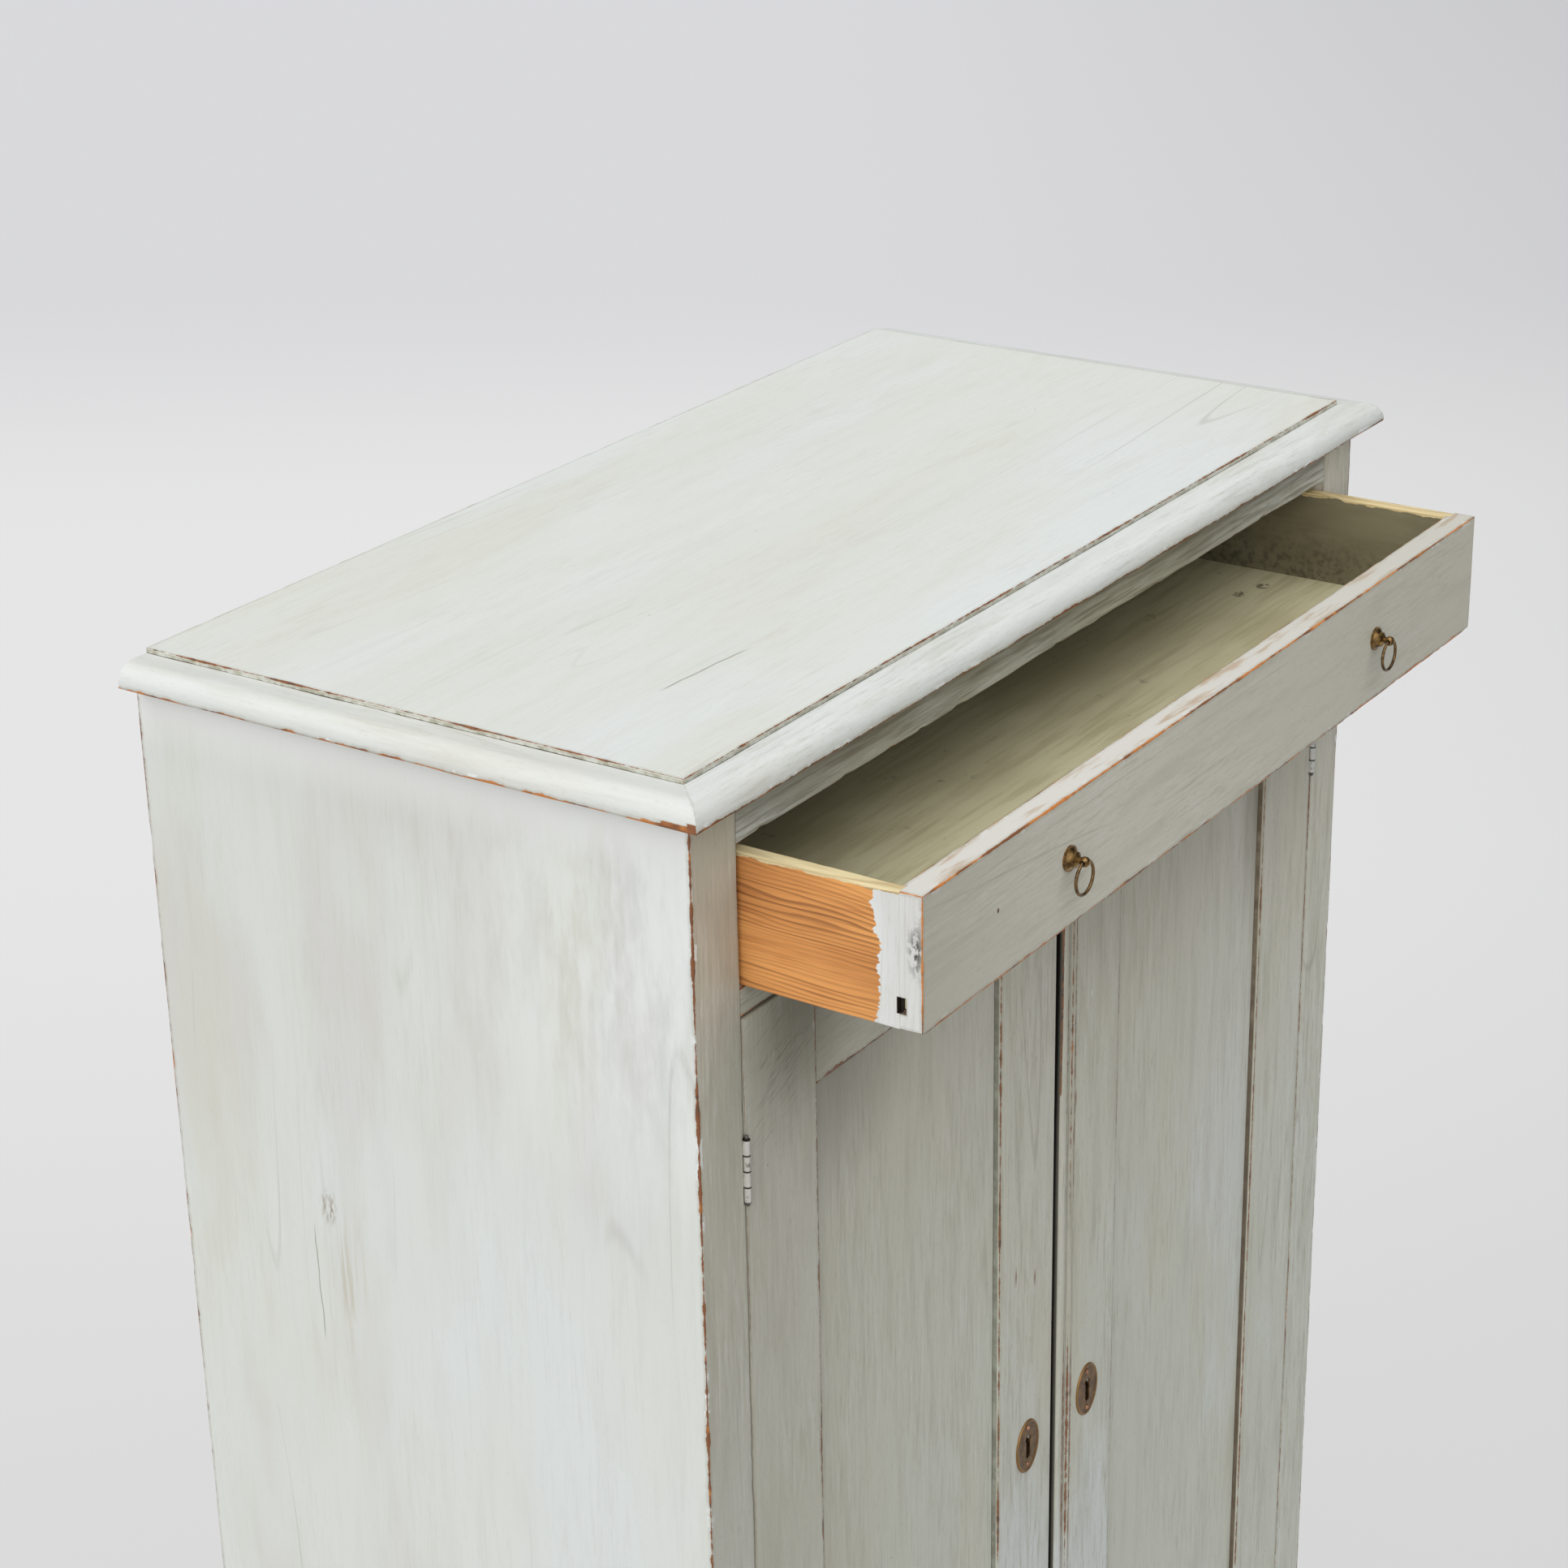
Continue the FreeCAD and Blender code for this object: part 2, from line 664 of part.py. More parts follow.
DOOR_Y = ("front", "door_back")
GROOVE_Y = ("groove_front", "groove_back")
PANEL_Z = ("door_bottom + door_rail_height", "door_top - door_rail_height")
DOOR_RAILS = {
    "top_rail": ("door_top - door_rail_height", "door_top"),
    "bottom_rail": ("door_bottom", "door_bottom + door_rail_height"),
}


def door_tenon_z(name):
    low, high = DOOR_RAILS[name]
    if name == "top_rail":
        return (f"{low} + panel_groove", f"{high} - tenon_haunch")
    return (f"{low} + tenon_haunch", f"{high} - panel_groove")


def door_pegs(door, radius):
    """Two pegs side by side through each tenon, near and far end, at the rails' middle height."""
    pegs = []
    for low, high in DOOR_RAILS.values():
        z = f"({low} + {high}) / 2"
        for near in ("peg_inset", "peg_inset + peg_spacing"):
            for distance in (near, f"{door.width} - ({near})"):
                pegs.append(rod("peg", "y", (door.at(distance), "front", z), radius, "peg_length"))
    return pegs


def keyhole(name, x, start, depth):
    """A round hole with a slot below it, cut from the point `start` backwards."""
    eye_z = "key_z + keyhole_length / 2 - keyhole_radius"
    eye = rod(name, "y", (x, start, eye_z), "keyhole_radius", depth)
    slot = box(name, (f"{x} - keyhole_slot / 2", f"{x} + keyhole_slot / 2"), (start, f"{start} + {depth}"),
               ("key_z - keyhole_length / 2", eye_z))
    return fuse(name, [eye, slot])


def key_x(door):
    inset = "key_inset" if door.left else "key_inset + bead_allowance"
    return door.at(f"{door.width} - ({inset})")


def escutcheon_pins(x, extra):
    """Round-headed nails above and below the keyhole."""
    pins = []
    face = "front - escutcheon_thickness"
    for direction in ("-", "+"):
        z = f"key_z {direction} escutcheon_pin_spacing / 2"
        radius = f"escutcheon_pin_radius + {extra}"
        shank = rod("escutcheon_pin", "y", (x, face, z), radius, "escutcheon_pin_length")
        pins.append((shank, z))
    return pins


def make_escutcheon(door):
    label = f"{door.side}_escutcheon"
    x = key_x(door)
    outline = add("Part::Ellipse", f"{label}_outline")
    upright = FreeCAD.Rotation(FreeCAD.Vector(0, 0, 1), FreeCAD.Vector(1, 0, 0), FreeCAD.Vector(0, 1, 0))
    outline.Placement = FreeCAD.Placement(FreeCAD.Vector(), upright)
    outline.setExpression("MajorRadius", formula("escutcheon_height / 2"))
    outline.setExpression("MinorRadius", formula("escutcheon_width / 2"))
    place(outline, x, "front", "key_z")
    plate = add("Part::Extrusion", f"{label}_plate")
    plate.Base = outline
    plate.DirMode = "Custom"
    plate.Dir = FreeCAD.Vector(0, -1, 0)
    plate.setExpression("LengthFwd", formula("escutcheon_thickness"))
    plate.Solid = True
    holes = [keyhole(f"{label}_keyhole", x, "front - escutcheon_thickness", "escutcheon_thickness")]
    holes += [shank for shank, z in escutcheon_pins(x, "screw_fit")]
    node(label, cut(label, plate, holes))

    pins = []
    for shank, z in escutcheon_pins(x, "0"):
        head = cone("pin_head", "-y", (x, "front - escutcheon_thickness", z), "escutcheon_pin_head",
                    "escutcheon_pin_radius", "escutcheon_pin_radius")
        pins.append(fuse("escutcheon_pin", [shank, head]))
    node(f"{label}_pins", group(f"{label}_pins", pins))


def make_door(side):
    door = Door(side)
    name = f"{side}_door"
    upright = ("door_bottom", "door_top")
    groove_z = (f"{PANEL_Z[0]} - panel_groove", f"{PANEL_Z[1]} + panel_groove")
    peg_holes = door_pegs(door, "peg_radius + peg_fit")

    recesses = [recess for low in ("upper_hinge_z", "lower_hinge_z") for recess in hinge_recess("door", low)]
    if not door.left:
        recesses = [mirrored("hinge_recess", recess) for recess in recesses]
    groove_x = door.span("door_stile_width - panel_groove", "door_stile_width")
    tools = [box("stile_groove", groove_x, GROOVE_Y, groove_z)]
    mortise_x = door.span("door_stile_width - tenon_length", "door_stile_width")
    for rail in DOOR_RAILS:
        tools.append(box("mortise", mortise_x, GROOVE_Y, door_tenon_z(rail)))
    stile = box(f"{name}_hinge_stile", door.span("0", "door_stile_width"), DOOR_Y, upright)
    node(f"{name}_hinge_stile", cut(f"{name}_hinge_stile", stile, tools + peg_holes + recesses))

    far = door.panel_end
    tools = [box("stile_groove", door.span(far, f"{far} + panel_groove"), GROOVE_Y, groove_z)]
    for rail in DOOR_RAILS:
        tools.append(box("mortise", door.span(far, f"{far} + tenon_length"), GROOVE_Y, door_tenon_z(rail)))
    tools.append(keyhole(f"{name}_keyhole", key_x(door), "front", "door_thickness"))
    tools += [shank for shank, z in escutcheon_pins(key_x(door), "screw_fit")]
    if not door.left:
        tools.append(box("bead_quirk", ("right_edge + bead_width", "right_edge + bead_width + bead_quirk"),
                         ("front", "front + bead_depth"), upright))
    stile = box(f"{name}_lock_stile", door.span(far, door.width), DOOR_Y, upright)
    node(f"{name}_lock_stile", cut(f"{name}_lock_stile", stile, tools + peg_holes))

    for rail, z in DOOR_RAILS.items():
        body = box(f"{name}_{rail}", door.span("door_stile_width", far), DOOR_Y, z)
        tenon_x = door.span("door_stile_width - tenon_length", f"{far} + tenon_length")
        tenons = box("rail_tenons", tenon_x, GROOVE_Y, door_tenon_z(rail))
        low, high = z
        inner = (low, f"{low} + panel_groove") if rail == "top_rail" else (f"{high} - panel_groove", high)
        groove = box("rail_groove", door.span("door_stile_width", far), GROOVE_Y, inner)
        whole = fuse(f"{name}_{rail}", [body, tenons])
        node(f"{name}_{rail}", cut(f"{name}_{rail}", whole, [groove] + peg_holes))

    lap = "panel_groove - panel_play"
    node(f"{name}_panel", box(f"{name}_panel", door.span(f"door_stile_width - ({lap})", f"{far} + {lap}"),
                              ("groove_front + groove_fit", "groove_back - groove_fit"),
                              (f"{PANEL_Z[0]} - ({lap})", f"{PANEL_Z[1]} + {lap}")))
    node(f"{name}_pegs", group(f"{name}_pegs", door_pegs(door, "peg_radius")))
    make_escutcheon(door)


def middle_span(centre, size):
    return (f"{centre} - ({size}) / 2", f"{centre} + ({size}) / 2")


def make_lock():
    """A rim lock on the back of the right door, its sliding bolt, and the strike on the left door."""
    start = "right_edge + lock_setback"
    bolt_y = middle_span("lock_middle_y", "lock_bolt_thickness")
    bolt_z = middle_span("key_z", "lock_bolt_height")
    channel_y = middle_span("lock_middle_y", "lock_bolt_thickness + 2 * lock_bolt_clearance")
    channel_z = middle_span("key_z", "lock_bolt_height + 2 * lock_bolt_clearance")
    case = box("lock_case", (start, f"{start} + lock_width"), ("door_back", "door_back + lock_depth"),
               middle_span("key_z", "lock_height"))
    channel_x = (start, f"{start} + lock_bolt_length + lock_bolt_clearance")
    channel = box("bolt_channel", channel_x, channel_y, channel_z)
    node("lock_case", cut("lock_case", case, [channel]))
    node("lock_bolt", box("lock_bolt", (start, f"{start} + lock_bolt_length"), bolt_y, bolt_z))

    end = "left_edge - lock_setback"
    strike = box("lock_strike", (f"{end} - strike_width", end), ("door_back", "door_back + lock_depth"),
                 middle_span("key_z", "strike_height"))
    pocket = box("strike_pocket", (f"{end} - strike_pocket", end), channel_y, channel_z)
    node("lock_strike", cut("lock_strike", strike, [pocket]))


def make_door_bolts():
    """Two sliding bolts behind the left door, shot up into the drawer rail and down into the floor."""
    plates = []
    inset = "door_bolt_setback + door_bolt_length / 2 - bolt_plate_length / 2"
    for label, end, way in (("upper_door_bolt", "door_top", "-"), ("lower_door_bolt", "door_bottom", "+")):
        def level(distance, end=end, way=way):
            return f"{end} {way} ({distance})"

        def span(near, far, level=level, way=way):
            return (level(far), level(near)) if way == "-" else (level(near), level(far))

        plate = box("bolt_plate", middle_span("bolt_x", "bolt_plate_width"),
                    ("door_back", "door_back + bolt_plate_thickness"),
                    span(inset, f"{inset} + bolt_plate_length"))
        guides = []
        for near in (inset, f"{inset} + bolt_plate_length - bolt_guide_length"):
            guides.append(box("bolt_guide", middle_span("bolt_x", "bolt_guide_width"),
                              ("door_back + bolt_plate_thickness", "bolt_y + bolt_guide_width / 2"),
                              span(near, f"{near} + bolt_guide_length")))
        length = span("door_bolt_setback", "door_bolt_setback + door_bolt_length")
        foot = ("bolt_x", "bolt_y", length[0])
        bore = rod("guide_bore", "z", foot, "door_bolt_radius + door_bolt_clearance", "door_bolt_length")
        plates.append(cut("bolt_plate", fuse("bolt_plate", [plate] + guides), [bore]))

        stem = rod(label, "z", foot, "door_bolt_radius", "door_bolt_length")
        knob_at = f"{inset} + bolt_plate_length - bolt_guide_length - bolt_knob_radius - door_bolt_setback"
        knob = rod("bolt_knob", "y", ("bolt_x", "bolt_y", level(knob_at)), "bolt_knob_radius",
                   "door_bolt_radius + bolt_knob_length")
        node(label, fuse(label, [stem, knob]))
    node("door_bolt_plates", group("door_bolt_plates", plates))


def build():
    fill_sheet()
    make_top()
    make_plinth()
    make_sides()
    make_frame_rails()
    make_stiles()
    make_back()
    make_floor_and_shelves()
    make_drawer_bearings()
    make_drawer()
    for side, sign in (("left", "-"), ("right", "")):
        make_pull(f"{side}_pull_rose", sign)
        make_ring(f"{side}_pull_ring", sign)
        make_door(side)
    make_hinges()
    make_lock()
    make_door_bolts()
    doc.recompute()


def check():
    for piece in doc.Objects:
        if "Invalid" in piece.State or "Error" in piece.State:
            raise RuntimeError(f"{piece.Label} failed: {piece.State}")
    for piece in nodes:
        if piece.Shape.isNull() or not piece.Shape.isValid() or not piece.Shape.Solids:
            raise RuntimeError(f"{piece.Label} has no valid shape")


def export():
    os.makedirs("parts", exist_ok=True)
    for piece in nodes:
        piece.Shape.exportStep(f"parts/{piece.Label}.step")


build()
check()
export()
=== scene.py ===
import json
import math

import bmesh
import bpy
import numpy as np
from mathutils import Matrix, Vector


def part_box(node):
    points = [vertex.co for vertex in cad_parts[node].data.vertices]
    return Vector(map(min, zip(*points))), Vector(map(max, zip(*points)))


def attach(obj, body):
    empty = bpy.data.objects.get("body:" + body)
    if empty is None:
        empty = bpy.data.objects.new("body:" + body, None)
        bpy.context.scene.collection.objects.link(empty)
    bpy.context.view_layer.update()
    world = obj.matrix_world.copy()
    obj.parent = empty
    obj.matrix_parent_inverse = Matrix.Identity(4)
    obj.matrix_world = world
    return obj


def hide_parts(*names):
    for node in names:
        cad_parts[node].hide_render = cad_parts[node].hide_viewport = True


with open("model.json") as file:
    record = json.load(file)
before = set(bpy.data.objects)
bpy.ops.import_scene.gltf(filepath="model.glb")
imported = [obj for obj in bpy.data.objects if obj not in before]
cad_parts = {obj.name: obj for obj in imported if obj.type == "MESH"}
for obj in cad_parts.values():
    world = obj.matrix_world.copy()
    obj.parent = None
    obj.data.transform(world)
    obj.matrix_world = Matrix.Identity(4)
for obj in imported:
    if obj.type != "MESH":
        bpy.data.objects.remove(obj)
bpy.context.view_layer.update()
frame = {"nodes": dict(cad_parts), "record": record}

# Lengths in this script are millimetres in the cupboard's own frame, unless a comment says otherwise.
MM = 0.001
BODY_OF = {
    node: body
    for body, members in frame["record"]["behaviour"]["bodies"].items()
    for node in members
}
AXES = {"x": 0, "y": 1, "z": 2}
ACROSS_GRAIN = {"x": "y", "y": "z", "z": "x"}
# Each side's name, its direction from the middle, and the outer and inner faces of its uprights.
SIDES = (("left", -1, "-x", "+x"), ("right", 1, "+x", "-x"))
# Half widths of the carcass, its opening and the drawer, the depths at which the frame and the drawn-out
# drawer have their fronts, and the height of the drawer's floor.
HALF_WIDTH = 425.0
OPENING = 380.0
DRAWER_END = 376.5
FRONT = 8.0
DRAWER_FACE = -112.0
FLOOR_OF_DRAWER = 1097.4
HINGE_LEVELS = (171.5, 939.5)
HINGE_LENGTH = 42.0
KNUCKLE_LENGTH = 10.5
LEAF_DEPTH = 23.0
KNUCKLE_ROOM = 1.3
KNUCKLE_DEPTH = 9.4
SIDE_STREAKS = 0.5


def srgb(red, green, blue):
    """A colour given in the usual 0 to 255 scale, as the linear colour that the shaders take."""
    parts = []
    for value in (red, green, blue):
        share = value / 255
        parts.append(share / 12.92 if share <= 0.04045 else ((share + 0.055) / 1.055) ** 2.4)
    return (*parts, 1.0)


PAINT = srgb(223, 226, 220)
PAINT_WHITE = srgb(232, 235, 233)
PAINT_COOL = srgb(225, 230, 231)
PAINT_MAUVE = srgb(215, 213, 209)
PAINT_OLIVE = srgb(211, 210, 193)
PAINT_WARM = srgb(216, 212, 196)
PAINT_FRONT = srgb(211, 214, 202)
PAINT_DIRT = srgb(158, 154, 134)
HAIR = srgb(176, 173, 156)
CRACK = srgb(112, 100, 78)
BARE_ORANGE = srgb(204, 130, 66)
BARE_BROWN = srgb(132, 82, 48)
BARE_DARK = srgb(84, 56, 40)
PINE_LIGHT = srgb(236, 167, 96)
PINE_DARK = srgb(160, 90, 36)
INSIDE_LIGHT = srgb(196, 164, 120)
INSIDE_DARK = srgb(150, 116, 76)
CREAM = srgb(228, 212, 168)
OLIVE = srgb(216, 211, 175)
OLIVE_DARK = srgb(190, 182, 142)
# Dark brownish grey: grime in some places, painted shade in others.
GRIME_AND_SHADE = srgb(92, 84, 64)
# Near black: painted shade in holes and beside the hinges, the hinges' dark joints and ends, and dark
# blotches low inside the drawer.
HOLE = srgb(36, 28, 20)
ROSE_LIGHT = srgb(160, 128, 82)
ROSE_DARK = srgb(88, 66, 42)
RING_LIGHT = srgb(132, 106, 72)
RING_DARK = srgb(74, 57, 42)
IRON_LIGHT = srgb(84, 78, 72)
IRON_DARK = srgb(46, 42, 40)
# Shares of the mauve, olive and cool patches in the paint of the sides, the top, the front and the strips.
SIDE_TINTS = (0.75, 0.5, 0.7)
TOP_TINTS = (0.22, 0.2, 0.7)
FRONT_TINTS = (0.1, 0.6, 0.65)
STRIP_TINTS = (0.33, 0.3, 0.7)


# Meshes


def box_mm(node):
    """Lowest and highest corner of one of the CAD pieces, in millimetres."""
    low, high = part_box(node)
    return np.array(low) / MM, np.array(high) / MM


def soft_noise(points, size, seed):
    """Soft random values from 0 to 1 at the points, in lumps about `size` across."""
    cell = points / size + 17.3 * seed
    low = np.floor(cell)
    part = cell - low
    part = part * part * (3 - 2 * part)
    total = np.zeros(len(points))
    for corner in np.ndindex(2, 2, 2):
        mixed = np.sin((low + corner) @ np.array([12.9898, 78.233, 37.719])) * 43758.5453
        weight = np.where(corner, part, 1 - part).prod(axis=1)
        total += (mixed - np.floor(mixed)) * weight
    return total


def grid_lines(low, high, reach, step):
    """Places of the mesh lines along one side of a board, close together over its edges."""
    reach = min(reach, 0.45 * (high - low))
    close = reach * np.array([0, 0.1, 0.25, 0.45, 0.7, 1.0])
    count = max(2, round((high - low - 2 * reach) / step) + 1)
    middle = np.linspace(low + reach, high - reach, count)[1:-1]
    return np.concatenate([low + close, middle, (high - close)[::-1]])


def box_shell(lines):
    """Points and four-sided faces of the outside of a box that is cut along the given lines."""
    counts = [len(places) for places in lines]
    index = np.arange(np.prod(counts)).reshape(counts)
    faces = []
    for axis in range(3):
        for end in (0, -1):
            sheet = np.take(index, end, axis)
            quads = np.stack([sheet[:-1, :-1], sheet[1:, :-1], sheet[1:, 1:], sheet[:-1, 1:]], -1)
            quads = quads.reshape(-1, 4)
            faces.append(quads[:, ::-1] if (end == 0) != (axis == 1) else quads)
    used, faces = np.unique(np.concatenate(faces), return_inverse=True)
    places = np.unravel_index(used, counts)
    return np.stack([lines[a][places[a]] for a in range(3)], 1), faces.reshape(-1, 4)


def face_gap(points, low, high, side):
    """Distance of each point from one face of a board, named like "-x" or "+z"."""
    axis = AXES[side[1]]
    return points[:, axis] - low[axis] if side[0] == "-" else high[axis] - points[:, axis]


def edge_gap(points, low, high, sharp):
    """Distance of each point on a board from its nearest edge, leaving out the sharp faces."""
    gaps = np.full((len(points), 3), 1000.0)
    for side in ("-x", "+x", "-y", "+y", "-z", "+z"):
        if side not in sharp:
            axis = AXES[side[1]]
            gaps[:, axis] = np.minimum(gaps[:, axis], face_gap(points, low, high, side))
    return np.sort(gaps, axis=1)[:, 1]


def round_edges(points, low, high, radius, sharp, seed):
    """Rounds the edges unevenly, as use does: more in some places, hardly at all on the sharp faces."""
    amount = radius * (0.35 + 1.0 * soft_noise(points, 23, seed) ** 1.5)
    chips = np.clip((soft_noise(points, 7, seed + 5) - 0.72) / 0.15, 0, 1)
    amount = amount + 0.9 * radius * chips
    for side in sharp:
        amount = amount * np.clip(face_gap(points, low, high, side) / (3 * radius), 0.04, 1)
    amount = np.minimum(amount, 0.45 * (high - low).min())[:, None]
    core = np.clip(points, low + amount, high - amount)
    out = points - core
    length = np.linalg.norm(out, axis=1, keepdims=True)
    return core + out / np.maximum(length, 1e-9) * amount


def add_piece(name, points, faces, material, nodes, fields=None, turn_out=False):
    """Puts a mesh in the scene in place of the CAD pieces that it stands for."""
    mesh = bpy.data.meshes.new(name)
    mesh.from_pydata((np.asarray(points) * MM).tolist(), [], [[int(i) for i in face] for face in faces])
    if turn_out:
        shape = bmesh.new()
        shape.from_mesh(mesh)
        bmesh.ops.recalc_face_normals(shape, faces=shape.faces)
        shape.to_mesh(mesh)
        shape.free()
    for field, values in (fields or {}).items():
        layer = mesh.attributes.new(field, "FLOAT", "POINT")
        layer.data.foreach_set("value", np.asarray(values, np.float32))
    mesh.shade_smooth()
    mesh.set_sharp_from_angle(angle=math.radians(40))
    mesh.materials.append(material)
    obj = bpy.data.objects.new(name, mesh)
    bpy.context.scene.collection.objects.link(obj)
    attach(obj, BODY_OF[nodes[0]])
    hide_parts(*nodes)
    return obj


def carve(obj, cutters):
    """Cuts boxes, each given as its lowest and highest corner, out of a piece."""
    for low, high in cutters:
        points, faces = box_shell([np.array([a, b], float) for a, b in zip(low, high)])
        mesh = bpy.data.meshes.new("cutter")
        mesh.from_pydata((points * MM).tolist(), [], faces.tolist())
        tool = bpy.data.objects.new("cutter", mesh)
        bpy.context.scene.collection.objects.link(tool)
        cut = obj.modifiers.new("cut", "BOOLEAN")
        cut.operation = "DIFFERENCE"
        cut.solver = "EXACT"
        cut.object = tool
        bpy.context.view_layer.update()
        whole = obj.evaluated_get(bpy.context.evaluated_depsgraph_get())
        carved = bpy.data.meshes.new_from_object(whole)
        obj.modifiers.remove(cut)
        obj.data = carved
        bpy.data.objects.remove(tool)
    obj.data.set_sharp_from_angle(angle=math.radians(40))


def board(node, material, radius=1.0, sharp="", rub=0.4, strong=(), step=6,
          span=None, cutters=(), seed=1):
    """A worn board in the place of one CAD piece. `span` gives its ends where tenons are left out."""
    low, high = box_mm(node)
    for axis, (start, stop) in (span or {}).items():
        low[AXES[axis]] = start
        high[AXES[axis]] = stop
    sharp = sharp.split()
    lines = [grid_lines(low[a], high[a], 3 * radius, step) for a in range(3)]
    points, faces = box_shell(lines)
    edge = np.minimum(edge_gap(points, low, high, sharp), 40)
    rubbed = np.full(len(points), float(rub))
    for first, second, amount in strong:
        gap = np.maximum(face_gap(points, low, high, first), face_gap(points, low, high, second))
        share = np.clip(1.6 - gap / 12, 0, 1)
        rubbed = rubbed * (1 - share) + amount * share
    worn = round_edges(points, low, high, radius, sharp, seed)
    obj = add_piece(node + "_wood", worn, faces, material, [node], {"edge": edge, "rub": rubbed})
    carve(obj, cutters)
    return obj


def tube_faces(sections, corners, closed=True):
    """Faces between sections that each have the same number of corners, with both ends closed or open."""
    index = np.arange(sections * corners).reshape(sections, corners)
    turned = np.roll(index, -1, axis=1)
    sides = np.stack([index[:-1], turned[:-1], turned[1:], index[1:]], -1).reshape(-1, 4).tolist()
    ends = [index[0][::-1].tolist(), index[-1].tolist()]
    return sides + ends if closed else sides


def strip_shape(way, profile, inner, front, back, step):
    """Points of a mitred strip along the front or a side, and each point's distance from the mitre.
    The profile gives each corner's distance out from the inner line and its height."""
    out = np.array([corner[0] for corner in profile], float)
    height = np.array([corner[1] for corner in profile], float)
    length = 2 * inner if way == "front" else back - front
    places = np.linspace(0, 1, round(length / step))[:, None]
    if way == "front":
        x = (2 * places - 1) * (inner + out)
        y = np.broadcast_to(front - out, x.shape)
        mitre = inner + out - np.abs(x)
    else:
        start = front - out
        y = start + places * (back - start)
        x = np.broadcast_to((-1 if way == "left" else 1) * (inner + out), y.shape)
        mitre = y - start
    z = np.broadcast_to(height, x.shape)
    points = np.stack([x, y, z], -1).reshape(-1, 3)
    return points, mitre.ravel(), tube_faces(len(places), len(profile))


def profile_gap(profile, worn, sections):
    """Distance of each point of a strip from the worn corners of its profile."""
    corners = np.array(profile, float)
    gaps = [np.linalg.norm(corners - np.array(corner), axis=1) for corner in worn]
    return np.tile(np.min(gaps, axis=0), sections)


def round_profile(width, base, height, radius, nose):
    """Corners of a strip with a rounded upper outer edge, from the inner lower corner round."""
    corners = [(0, base), (0.5 * width, base), (width - 4, base), (width - 1.2, base)]
    corners.append((width - 0.3, base + 0.25))
    corners += [(width, base + max(0.9, nose * share)) for share in (0.3, 0.65, 1.0) if nose * share > 1.0]
    for angle in np.radians(np.linspace(0, 90, 12)):
        out, up = radius * math.cos(angle), radius * math.sin(angle)
        corners.append((width - radius + out, height - radius + up))
    corners += [(0.5 * (width - radius), height), (2, height), (0, height)]
    return corners


def lathe(profile, centre, segments=32):
    """Points and faces of a form turned round a line that points out of the front, through a centre.
    The profile gives each ring's radius and how far it stands out."""
    turns = np.linspace(0, 2 * math.pi, segments, endpoint=False)
    points = []
    for radius, out in profile:
        for turn in turns:
            across, up = radius * math.cos(turn), radius * math.sin(turn)
            points.append((centre[0] + across, centre[1] - out, centre[2] + up))
    return points, tube_faces(len(profile), segments)


def joined(shapes):
    """Several points-and-faces shapes as one."""
    points, faces = [], []
    for some_points, some_faces in shapes:
        faces += [[i + len(points) for i in face] for face in some_faces]
        points += list(some_points)
    return np.array(points), faces


# Materials


